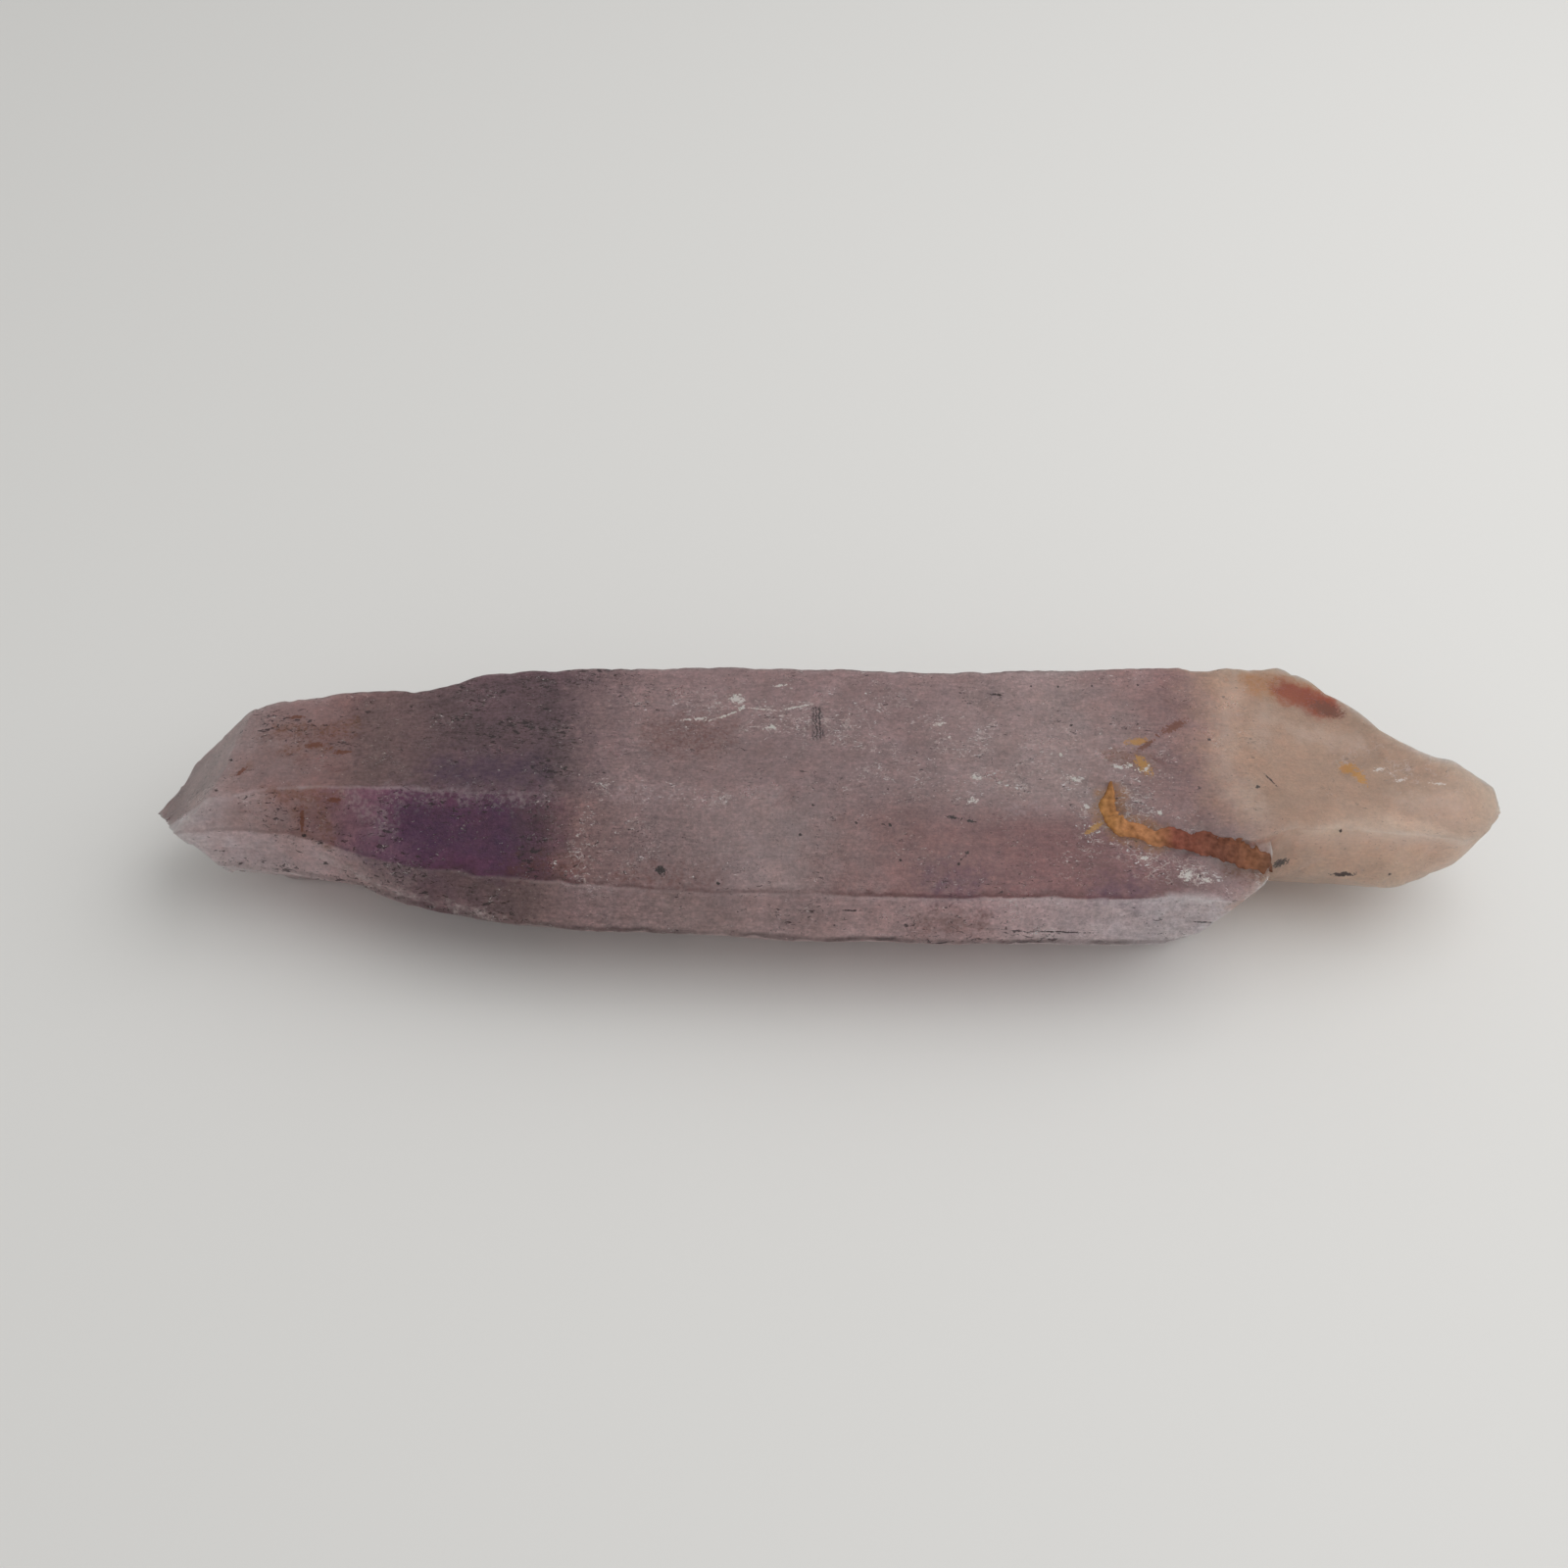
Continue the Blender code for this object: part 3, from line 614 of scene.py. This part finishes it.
# The dark part behind the point is etched the most, and the milky base the least. Each row: where
# the change starts and ends along the crystal, in mm, and the strength before and after it.
ETCHING = ((-30.0, -23.0, 0.5, 1.0), (-16.0, -6.0, 1.45, 1.0), (20.0, 26.0, 1.0, 0.4))
etching_parts = [add_node(tree, "ShaderNodeMapRange", {"Value": split_mm.outputs["X"]},
                          {"From Min": start, "From Max": end, "To Min": before,
                           "To Max": after})
                 for start, end, before, after in ETCHING]
etching = etching_parts[0]
for part in etching_parts[1:]:
    etching = add_node(tree, "ShaderNodeMath", {0: etching.outputs[0], 1: part.outputs[0]},
                       operation="MULTIPLY")
etching_at_base = etching_parts[-1]
FROSTING_TILT = 0.06
for length, width, height, contrast in FROSTING:
    place = add_node(tree, "ShaderNodeMapping", {"Vector": mm},
                     {"Rotation": (0.0, 0.0, FROSTING_TILT),
                      "Scale": (1 / length, 1 / width, 1 / height)})
    frosting = add_node(tree, "ShaderNodeTexNoise", {"Vector": place.outputs[0]},
                        {"Scale": 1.0, "Detail": 3.0, "Roughness": 0.7})
    depth_of_mark = add_node(tree, "ShaderNodeMapRange", {"Value": frosting.outputs["Fac"]},
                             {"From Min": 0.3, "From Max": 0.7, "To Min": -contrast,
                              "To Max": contrast})
    level = add_node(tree, "ShaderNodeMath",
                     {0: depth_of_mark.outputs[0], 1: etching.outputs[0]}, {2: 1.0},
                     operation="MULTIPLY_ADD")
    colour = add_node(tree, "ShaderNodeVectorMath", {0: colour, "Scale": level.outputs[0]},
                      operation="SCALE").outputs[0]

# Light lines along the crests of the ridges, in broken lines: the white bruising of wear, with a
# painted highlight on the edges. The dark lines along the upper and the lowest edge of the front
# and along the back ridge are painted shade where the faces turn away. Each row: the ridge, how far
# beyond it the line runs and half the line's width, in mm, its strength at the point and further
# on, its colour.
CRESTS_WEAR_HIGHLIGHT_SHADE = (
    # worn white, with a painted highlight, along the top ridge
    ("before_top_ridge", 0.0, 0.08, 0.46, 0.0, "#d8c6c8"),
    # painted shade above the upper edge of the front
    ("below_front_ridge", -0.12, 0.09, 0.20, 0.50, "#4e2c2c"),
    # worn white, with a painted highlight, just below the upper edge of the front
    ("below_front_ridge", 0.06, 0.08, 0.00, 0.40, "#dccccc"),
    # painted shade along the lowest edge of the front, where it turns under
    ("above_waist", 0.0, 0.17, 0.40, 0.90, "#38221f"),
    # painted shade along the back ridge, where the top turns away
    ("before_back_ridge", 0.0, 0.13, 0.50, 0.65, "#463034"),
)
CREST_WANDER = 0.35
CREST_CHANGE = (-26.0, -12.0)
CREST_END = (19.0, 22.0)
for ridge, offset, half_width, at_point, further, tint in CRESTS_WEAR_HIGHLIGHT_SHADE:
    past = add_node(tree, "ShaderNodeAttribute", attribute_name=ridge).outputs["Fac"]
    wander = add_node(tree, "ShaderNodeMath", {0: hue_noise.outputs["Fac"], 2: past},
                      {1: CREST_WANDER}, operation="MULTIPLY_ADD")
    beside = add_node(tree, "ShaderNodeMath", {0: wander.outputs[0]},
                      {1: CREST_WANDER / 2 + offset}, operation="SUBTRACT")
    away = add_node(tree, "ShaderNodeMath", {0: beside.outputs[0]}, operation="ABSOLUTE")
    line = add_node(tree, "ShaderNodeMapRange", {"Value": away.outputs[0]},
                    {"From Min": half_width * 0.4, "From Max": half_width * 1.6, "To Min": 1.0,
                     "To Max": 0.0})
    strength = add_node(tree, "ShaderNodeMapRange", {"Value": split_mm.outputs["X"]},
                        {"From Min": CREST_CHANGE[0], "From Max": CREST_CHANGE[1],
                         "To Min": at_point, "To Max": further})
    kept = add_node(tree, "ShaderNodeMapRange", {"Value": veil.outputs["Fac"]},
                    {"From Min": 0.38, "From Max": 0.6, "To Min": 0.35})
    before_end = add_node(tree, "ShaderNodeMapRange", {"Value": split_mm.outputs["X"]},
                          {"From Min": CREST_END[0], "From Max": CREST_END[1],
                           "To Min": 1.0, "To Max": 0.0})
    share = line
    for limit in (strength, kept, before_end):
        share = add_node(tree, "ShaderNodeMath", {0: share.outputs[0], 1: limit.outputs[0]},
                         operation="MULTIPLY")
    # Lays on the worn white lines with their painted highlight, and the painted shade lines.
    colour = add_node(tree, "ShaderNodeMix", {"Factor": share.outputs[0], 6: colour},
                      {7: linear(tint)}, data_type="RGBA").outputs[2]

# Marks laid over the zones, in the order in which they lie: colour, strength, softness of the
# edge in mm, how far the edge wanders in mm and how much of the mark is broken up by fine grain.
MARKS = {
    "violet": ("#46185c", 0.50, 1.4, 1.1, 0.3),
    "smoke": ("#2f2228", 0.50, 1.2, 1.3, 0.75),
    "umber": ("#84452f", 0.45, 0.6, 0.9, 0.75),
    "tan": ("#8f5a30", 0.55, 0.35, 0.6, 0.6),
    "cloud": ("#b4a3a8", 0.25, 1.8, 1.2, 0.3),
    "milk": ("#e8d4c6", 0.48, 0.8, 0.6, 0.15),
    "frost": ("#d2bcc0", 0.50, 0.45, 0.7, 0.9),
    "step": ("#e6d6d4", 0.75, 0.30, 0.35, 0.80),
    "seep": ("#7c4a2a", 0.80, 0.45, 0.40, 0.2),
    "ochre": ("#c8863a", 0.70, 0.45, 0.40, 0.3),
    "rust": ("#aa420a", 0.95, 0.50, 0.35, 0.0),
}
EDGE_SCALE = 1.6
GRAIN_SCALE = 4.5
edge_noise = add_node(tree, "ShaderNodeTexNoise", {"Vector": mm},
                      {"Scale": EDGE_SCALE, "Detail": 5.0, "Roughness": 0.65})
grain_noise = add_node(tree, "ShaderNodeTexNoise", {"Vector": mm},
                       {"Scale": GRAIN_SCALE, "Detail": 2.0, "Roughness": 0.6})
for mark, (tint, strength, softness, wander, broken) in MARKS.items():
    away = add_node(tree, "ShaderNodeAttribute", attribute_name=mark).outputs["Fac"]
    edge = add_node(tree, "ShaderNodeMapRange", {"Value": edge_noise.outputs["Fac"]},
                    {"From Min": 0.3, "From Max": 0.7, "To Min": -wander, "To Max": wander})
    wavy = add_node(tree, "ShaderNodeMath", {0: away, 1: edge.outputs[0]}, operation="ADD")
    share = add_node(tree, "ShaderNodeMapRange", {"Value": wavy.outputs[0]},
                     {"From Min": -softness, "From Max": softness, "To Min": strength,
                      "To Max": 0.0}, interpolation_type="SMOOTHSTEP").outputs[0]
    kept = add_node(tree, "ShaderNodeMapRange", {"Value": grain_noise.outputs["Fac"]},
                    {"From Min": 0.42, "From Max": 0.6, "To Min": 1.0 - broken, "To Max": 1.0})
    share = add_node(tree, "ShaderNodeMath", {0: share, 1: kept.outputs[0]},
                     operation="MULTIPLY").outputs[0]
    colour = add_node(tree, "ShaderNodeMix", {"Factor": share, 6: colour},
                      {7: linear(tint)}, data_type="RGBA").outputs[2]

# Grit in the etch pits, pale nicks and crumbs that are also painted glints, and fine dust, in
# patches. Each
# row: size in mm, tilt, how bent, colour, strength, how much of the noise shows, the patch that it
# gathers in and its pull there.
CLUSTER_SCALE = 0.5
cluster = add_node(tree, "ShaderNodeTexNoise", {"Vector": mm},
                   {"Scale": CLUSTER_SCALE, "Detail": 4.0, "Roughness": 0.65})
CLUSTER_PULL = 0.35
pull = add_node(tree, "ShaderNodeMath", {0: cluster.outputs["Fac"]}, {1: CLUSTER_PULL},
                operation="MULTIPLY")
PATCH_FADE = 1.4
DASH_EDGE = 0.035
DASHES = {
    "grit": ((0.46, 0.19, 0.22), 0.25, 0.8, "#261619", 0.85, 0.848, "grit_patch", 0.095),
    "dust": ((0.17, 0.13, 0.14), -0.3, 0.5, "#2e2226", 0.65, 0.838, "grit_patch", 0.050),
    # Pale nicks and crumbs, which also stand in for glints: painted highlights.
    "nicks_and_glints": ((0.46, 0.22, 0.22), 0.5, 2.0, "#fffafa", 0.90, 0.885, "sparkle_patch", 0.085),
    "crumbs_and_glints": ((0.22, 0.15, 0.15), -0.4, 1.0, "#efe4e2", 0.80, 0.862, "sparkle_patch", 0.057),
}
for size, tilt, bend, tint, strength, level, patch, gather in DASHES.values():
    place = add_node(tree, "ShaderNodeMapping", {"Vector": mm},
                     {"Rotation": (0.0, 0.0, tilt), "Scale": [1 / step for step in size]})
    marks = add_node(tree, "ShaderNodeTexNoise", {"Vector": place.outputs[0]},
                     {"Scale": 1.0, "Detail": 3.0, "Roughness": 0.55, "Distortion": bend})
    away = add_node(tree, "ShaderNodeAttribute", attribute_name=patch).outputs["Fac"]
    gathered = add_node(tree, "ShaderNodeMapRange", {"Value": away},
                        {"From Min": -PATCH_FADE / 2, "From Max": PATCH_FADE,
                         "To Min": level - gather, "To Max": level})
    clustered = add_node(tree, "ShaderNodeMath", {0: marks.outputs["Fac"], 1: pull.outputs[0]},
                         operation="ADD")
    over = add_node(tree, "ShaderNodeMath", {0: clustered.outputs[0], 1: gathered.outputs[0]},
                    operation="SUBTRACT")
    share = add_node(tree, "ShaderNodeMapRange", {"Value": over.outputs[0]},
                     {"From Min": 0.0, "From Max": DASH_EDGE, "To Max": strength})
    share = add_node(tree, "ShaderNodeMath", {0: share.outputs[0], 1: etching_at_base.outputs[0]},
                     operation="MULTIPLY")
    colour = add_node(tree, "ShaderNodeMix", {"Factor": share.outputs[0], 6: colour},
                      {7: linear(tint)}, data_type="RGBA").outputs[2]

# Hair cracks and fine scratches, thin pale lines that wander, mostly in the sparkle patches.
CRACK_SCALE = 0.9
CRACK_CORE = 0.006
CRACK_EDGE = 0.018
CRACK_STRENGTH = 0.6
crack_noise = add_node(tree, "ShaderNodeTexNoise", {"Vector": mm},
                       {"Scale": CRACK_SCALE, "Detail": 3.0, "Roughness": 0.55})
crack_side = add_node(tree, "ShaderNodeMath", {0: crack_noise.outputs["Fac"]}, {1: 0.5},
                      operation="SUBTRACT")
from_crack = add_node(tree, "ShaderNodeMath", {0: crack_side.outputs[0]}, operation="ABSOLUTE")
crack_line = add_node(tree, "ShaderNodeMapRange", {"Value": from_crack.outputs[0]},
                      {"From Min": CRACK_CORE, "From Max": CRACK_EDGE,
                       "To Min": CRACK_STRENGTH, "To Max": 0.0})
away = add_node(tree, "ShaderNodeAttribute", attribute_name="sparkle_patch").outputs["Fac"]
in_patch = add_node(tree, "ShaderNodeMapRange", {"Value": away},
                    {"From Min": 0.0, "From Max": 1.5, "To Min": 1.0, "To Max": 0.12})
in_part = add_node(tree, "ShaderNodeMapRange", {"Value": cluster.outputs["Fac"]},
                   {"From Min": 0.50, "From Max": 0.58})
share = crack_line
for limit in (in_patch, in_part):
    share = add_node(tree, "ShaderNodeMath", {0: share.outputs[0], 1: limit.outputs[0]},
                     operation="MULTIPLY")
colour = add_node(tree, "ShaderNodeMix", {"Factor": share.outputs[0], 6: colour},
                  {7: linear("#e8d8d4")}, data_type="RGBA").outputs[2]

# The hatch of dark lines across the top, one deep scratch beside the next: where it lies and how
# far apart its lines are, how far they wander, how ragged and how soft its borders are, in mm.
HATCH_BAND = {"X": (-0.85, -0.22), "Y": (1.95, 4.45)}
HATCH_LOWEST = 8.0
HATCH_PITCH = 0.21
HATCH_WANDER = 0.5
HATCH_RAGGED = 0.6
HATCH_MEAN = 0.25
HATCH_EDGE = 0.12
hatch_x = add_node(tree, "ShaderNodeMath",
                   {0: grain_noise.outputs["Fac"], 2: split_mm.outputs["X"]},
                   {1: HATCH_WANDER}, operation="MULTIPLY_ADD")
hatch_wave = add_node(tree, "ShaderNodeMath", {0: hatch_x.outputs[0]},
                      {1: 2 * math.pi / HATCH_PITCH}, operation="MULTIPLY")
hatch_line = add_node(tree, "ShaderNodeMath", {0: hatch_wave.outputs[0]}, operation="SINE")
share = add_node(tree, "ShaderNodeMapRange", {"Value": hatch_line.outputs[0]},
                 {"From Min": -0.7, "From Max": 0.6, "To Min": 0.1, "To Max": 0.9})
limits = []
for axis, (low, high) in HATCH_BAND.items():
    ragged = add_node(tree, "ShaderNodeMath",
                      {0: edge_noise.outputs["Fac"], 2: split_mm.outputs[axis]},
                      {1: HATCH_RAGGED}, operation="MULTIPLY_ADD")
    for border, edge in ((low + HATCH_MEAN, HATCH_EDGE), (high + HATCH_MEAN, -HATCH_EDGE)):
        limits.append(add_node(tree, "ShaderNodeMapRange", {"Value": ragged.outputs[0]},
                               {"From Min": border - edge, "From Max": border + edge}))
limits.append(add_node(tree, "ShaderNodeMath", {0: split_mm.outputs["Z"]}, {1: HATCH_LOWEST},
                       operation="GREATER_THAN"))
for limit in limits:
    share = add_node(tree, "ShaderNodeMath", {0: share.outputs[0], 1: limit.outputs[0]},
                     operation="MULTIPLY")
colour = add_node(tree, "ShaderNodeMix", {"Factor": share.outputs[0], 6: colour},
                  {7: linear("#30262a")}, data_type="RGBA").outputs[2]

# Single dark grains and white chips and scratches, the white ones also painted glints, each at its
# own place, with ragged borders.
RAGGED_SCALE = 6.0
ragged_noise = add_node(tree, "ShaderNodeTexNoise", {"Vector": mm},
                        {"Scale": RAGGED_SCALE, "Detail": 4.0, "Roughness": 0.7})
FLECK_LOOKS = {
    "amber_fleck": ("#dfa648", 0.85, 4.0),
    "russet_fleck": ("#84421f", 0.85, 3.0),
    "dark_fleck": ("#1f1314", 0.95, 4.0),
    # near white: chips, and painted glints
    "white_chip_and_glint_fleck": ("#fff4ee", 1.0, 7.0),
}
FLECK_SIZE = 0.75
FLECK_EDGE = 0.4
FLECK_REACH = 0.3
for mark, (tint, strength, breakup) in FLECK_LOOKS.items():
    beside = add_node(tree, "ShaderNodeAttribute", attribute_name=mark).outputs["Vector"]
    parts = add_node(tree, "ShaderNodeSeparateXYZ", {0: beside})
    flat = add_node(tree, "ShaderNodeCombineXYZ", {0: parts.outputs["X"], 1: parts.outputs["Y"]})
    away = add_node(tree, "ShaderNodeVectorMath", {0: flat.outputs[0]}, operation="LENGTH")
    ragged = add_node(tree, "ShaderNodeMath", {0: ragged_noise.outputs["Fac"],
                                               2: away.outputs["Value"]},
                      {1: breakup}, operation="MULTIPLY_ADD")
    border = 0.5 * breakup + FLECK_SIZE
    share = add_node(tree, "ShaderNodeMapRange", {"Value": ragged.outputs[0]},
                     {"From Min": border, "From Max": border + FLECK_EDGE,
                      "To Min": strength, "To Max": 0.0})
    near = add_node(tree, "ShaderNodeMath", {0: parts.outputs["Z"]}, {1: FLECK_REACH},
                    operation="LESS_THAN")
    share = add_node(tree, "ShaderNodeMath", {0: share.outputs[0], 1: near.outputs[0]},
                     operation="MULTIPLY")
    colour = add_node(tree, "ShaderNodeMix", {"Factor": share.outputs[0], 6: colour},
                      {7: linear(tint)}, data_type="RGBA").outputs[2]

# Fine etching, 0.05 to 0.2 mm, drawn a little coarser than it is so that it shows.
FINE_SCALE = 7.0
FINE_DEPTH = 0.06 * MM
fine = add_node(tree, "ShaderNodeTexNoise", {"Vector": mm},
                {"Scale": FINE_SCALE, "Detail": 4.0, "Roughness": 0.7})
bump = add_node(tree, "ShaderNodeBump", {"Height": fine.outputs["Fac"]},
                {"Strength": 0.8, "Distance": FINE_DEPTH})
sheen_level = add_node(tree, "ShaderNodeMapRange", {"Value": veil.outputs["Fac"]},
                       {"From Min": 0.3, "From Max": 0.7, "To Min": 0.38, "To Max": 0.26})

shader = add_node(tree, "ShaderNodeBsdfPrincipled",
                  {"Base Color": colour, "Roughness": sheen_level.outputs[0],
                   "Normal": bump.outputs[0]},
                  {"IOR": 1.544, "Transmission Weight": 0.5, "Subsurface Weight": 1.0,
                   "Subsurface Radius": (1.0, 0.85, 0.9), "Subsurface Scale": 0.004})
absorption = add_node(tree, "ShaderNodeVolumeAbsorption",
                      values={"Color": linear("#e0bcc6"), "Density": 120.0})
add_node(tree, "ShaderNodeOutputMaterial",
         {"Surface": shader.outputs[0], "Volume": absorption.outputs[0]})

stone.data.materials.clear()
stone.data.materials.append(quartz)
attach(stone, "root")
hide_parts("amethyst_crystal")

# The rusty vein
# Limonite, a crumbly iron ore, fills the groove where the two crystals meet. Water left it
# there: yellow-brown where it is thin, red-brown where it is thick.
VEIN_PATH = [(15.95, -0.9), (15.85, -1.6), (15.6, -2.4), (15.75, -3.2), (16.4, -3.8), (17.2, -4.1),
             (18.05, -4.3), (19.0, -4.4), (19.9, -4.5), (20.8, -4.7), (21.6, -5.0), (22.4, -5.3),
             (23.2, -5.55), (23.9, -5.65), (24.4, -5.6)]
VEIN_HALF_WIDTHS = (0.10, 0.30, 0.50, 0.62, 0.60, 0.56, 0.58, 0.66, 0.66, 0.68, 0.74, 0.80, 0.84,
                    0.80, 0.62)
# How much the edge wanders, and the lumps on top: share of the whole, waves in each mm, seed.
VEIN_RAGGED = ((0.45, 1.1, 7.0, 0.0), (0.25, 3.5, 3.0, 2.0))
VEIN_LUMPS = ((0.8, 1.3, 4.0), (0.4, 4.0, 1.0))
VEIN_STEPS = 120
VEIN_ROWS = 14
VEIN_RISE = 0.16
VEIN_EDGE = 0.07
VEIN_THICKNESS = 0.35
# At the broken end the crust hangs over the rim, down to this height and no further.
VEIN_LOWEST = 8.3
ABOVE_ALL = 20.0

bpy.ops.object.select_all(action="DESELECT")
bpy.ops.mesh.primitive_grid_add(x_subdivisions=VEIN_STEPS, y_subdivisions=VEIN_ROWS, size=2.0)
vein = bpy.context.object
vein.name = "limonite_vein"
path = np.array(VEIN_PATH)
run = np.concatenate([[0.0], np.cumsum(np.linalg.norm(np.diff(path, axis=0), axis=1))])
for vertex in vein.data.vertices:
    distance = (vertex.co.x + 1) / 2 * run[-1]
    side = vertex.co.y
    middle = np.array([np.interp(distance, run, path[:, axis]) for axis in (0, 1)])
    before, after = (np.array([np.interp(distance + reach, run, path[:, axis])
                               for axis in (0, 1)]) for reach in (-0.5, 0.5))
    across = np.array([before[1] - after[1], after[0] - before[0]])
    across /= np.linalg.norm(across)
    ragged = 1
    for share, waves, seed, other_seed in VEIN_RAGGED:
        ragged += share * noise.noise(
            Vector((distance * waves, math.copysign(seed, side), other_seed)))
    half_width = np.interp(distance, run, VEIN_HALF_WIDTHS) * ragged
    x, y = middle + across * side * half_width
    spot = stone.ray_cast(Vector((x, y, ABOVE_ALL)) * MM, Vector((0.0, 0.0, -1.0)))[1]
    lump = 1
    for share, waves, seed in VEIN_LUMPS:
        lump += share * noise.noise(Vector((x * waves, y * waves, seed)))
    rise = (VEIN_RISE * lump + VEIN_EDGE) * (1 - abs(side) ** 3) - VEIN_EDGE
    vertex.co = Vector((x, y, max(spot.z / MM, VEIN_LOWEST) + rise)) * MM
crust = vein.modifiers.new("crust", "SOLIDIFY")
crust.thickness = VEIN_THICKNESS * MM
crust.offset = -1.0
bpy.ops.object.modifier_apply(modifier=crust.name)
bpy.ops.object.shade_smooth()

# Limonite: an earthy, dull crust with a fine crumb, darker and redder as it thickens.
limonite = bpy.data.materials.new("earthy_limonite")
limonite.use_nodes = True
tree = limonite.node_tree
tree.nodes.clear()
coordinates = add_node(tree, "ShaderNodeTexCoord")
mm = add_node(tree, "ShaderNodeVectorMath", {0: coordinates.outputs["Object"]},
              {"Scale": 1 / MM}, operation="SCALE").outputs[0]
split_mm = add_node(tree, "ShaderNodeSeparateXYZ", {0: mm})
DRIFT_REACH = 1.2
drift = add_node(tree, "ShaderNodeTexNoise", {"Vector": mm}, {"Scale": 1.1, "Detail": 4.0})
drift_x = add_node(tree, "ShaderNodeMath", {0: drift.outputs["Fac"], 2: split_mm.outputs["X"]},
                   {1: DRIFT_REACH}, operation="MULTIPLY_ADD")
VEIN_START = 15.0
VEIN_END = 27.0
along = add_node(tree, "ShaderNodeMapRange", {"Value": drift_x.outputs[0]},
                 {"From Min": VEIN_START, "From Max": VEIN_END})
rust_ramp = add_node(tree, "ShaderNodeValToRGB", {0: along.outputs[0]})
VEIN_STOPS = [(15.5, "#9a6a32"), (17.5, "#a87044"), (18.8, "#a06a42"), (19.8, "#7a3c2a"),
              (22.0, "#74402c"), (24.0, "#7a4a2c"), (26.0, "#543224")]
elements = rust_ramp.color_ramp.elements
while len(elements) < len(VEIN_STOPS):
    elements.new(0.5)
for element, (x, tint) in zip(elements, VEIN_STOPS):
    element.position = (x - VEIN_START) / (VEIN_END - VEIN_START)
    element.color = linear(tint)
CRUMB_DEPTH = 0.12 * MM
crumb = add_node(tree, "ShaderNodeTexNoise", {"Vector": mm},
                 {"Scale": 2.2, "Detail": 5.0, "Roughness": 0.6})
crumb_level = add_node(tree, "ShaderNodeMapRange", {"Value": crumb.outputs["Fac"]},
                       {"From Min": 0.3, "From Max": 0.7, "To Min": 0.55, "To Max": 1.4})
rust_colour = add_node(tree, "ShaderNodeVectorMath",
                       {0: rust_ramp.outputs["Color"], "Scale": crumb_level.outputs[0]},
                       operation="SCALE")
crumb_bump = add_node(tree, "ShaderNodeBump", {"Height": crumb.outputs["Fac"]},
                      {"Strength": 0.6, "Distance": CRUMB_DEPTH})
dullness = add_node(tree, "ShaderNodeMapRange", {"Value": crumb.outputs["Fac"]},
                    {"From Min": 0.3, "From Max": 0.7, "To Min": 0.9, "To Max": 0.6})
limonite_shader = add_node(tree, "ShaderNodeBsdfPrincipled",
                           {"Base Color": rust_colour.outputs[0], "Normal": crumb_bump.outputs[0],
                            "Roughness": dullness.outputs[0]}, {"IOR": 1.5})
add_node(tree, "ShaderNodeOutputMaterial", {"Surface": limonite_shader.outputs[0]})
vein.data.materials.clear()
vein.data.materials.append(limonite)
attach(vein, "root")

# The floor
# A sheet of plain white paper, matte and even. It lies flat on a table, a hair's breadth below
# the stone, so that the two never share a face.
FLOOR_SIZE = 1.2
FLOOR_GAP = 0.03 * MM

bpy.ops.object.select_all(action="DESELECT")
bpy.ops.mesh.primitive_plane_add(size=FLOOR_SIZE, location=(0.0, 0.0, -FLOOR_GAP))
floor = bpy.context.object
floor.name = "paper_floor"
paper = bpy.data.materials.new("matte_white_paper")
paper.use_nodes = True
paper_shader = paper.node_tree.nodes["Principled BSDF"]
paper_shader.inputs["Base Color"].default_value = linear("#eae9e7")
paper_shader.inputs["Roughness"].default_value = 0.9
paper_shader.inputs["Specular IOR Level"].default_value = 0.2
floor.data.materials.append(paper)

# The light
# Soft daylight from a window behind the stone and to its right, and the pale room around it,
# which fills the shadows.
WINDOW_PLACE = Vector((0.13, 0.02, 0.19))
WINDOW_SIZE = 0.27
WINDOW_POWER = 0.31

window_data = bpy.data.lights.new("window_light", "AREA")
window_data.shape = "SQUARE"
window_data.size = WINDOW_SIZE
window_data.energy = WINDOW_POWER
window = bpy.data.objects.new("window_light", window_data)
window.location = WINDOW_PLACE
window.rotation_euler = (-WINDOW_PLACE).to_track_quat("-Z", "Y").to_euler()
bpy.context.collection.objects.link(window)

room = bpy.data.worlds.new("pale_room")
room.use_nodes = True
room_background = room.node_tree.nodes["Background"]
room_background.inputs["Color"].default_value = linear("#f2f2f0")
room_background.inputs["Strength"].default_value = 0.55
bpy.context.scene.world = room
bpy.context.scene.view_settings.view_transform = "Standard"

# The viewpoint
# A camera with a normal lens, held close over the front of the stone and looking down at it
# from 52 degrees.
VIEW_ELEVATION = math.radians(52)
VIEW_DISTANCE = 0.104
VIEW_TARGET = Vector((-0.00249, 0.00252, 0.005))

camera_data = bpy.data.cameras.new("viewpoint")
camera_data.lens = 40.0
camera_data.sensor_width = 36.0
camera_data.clip_start = 0.001
camera = bpy.data.objects.new("viewpoint", camera_data)
outward = Vector((0.0, -math.cos(VIEW_ELEVATION), math.sin(VIEW_ELEVATION)))
camera.location = VIEW_TARGET + outward * VIEW_DISTANCE
camera.rotation_euler = (math.pi / 2 - VIEW_ELEVATION, 0.0, 0.0)
bpy.context.collection.objects.link(camera)
bpy.context.scene.camera = camera
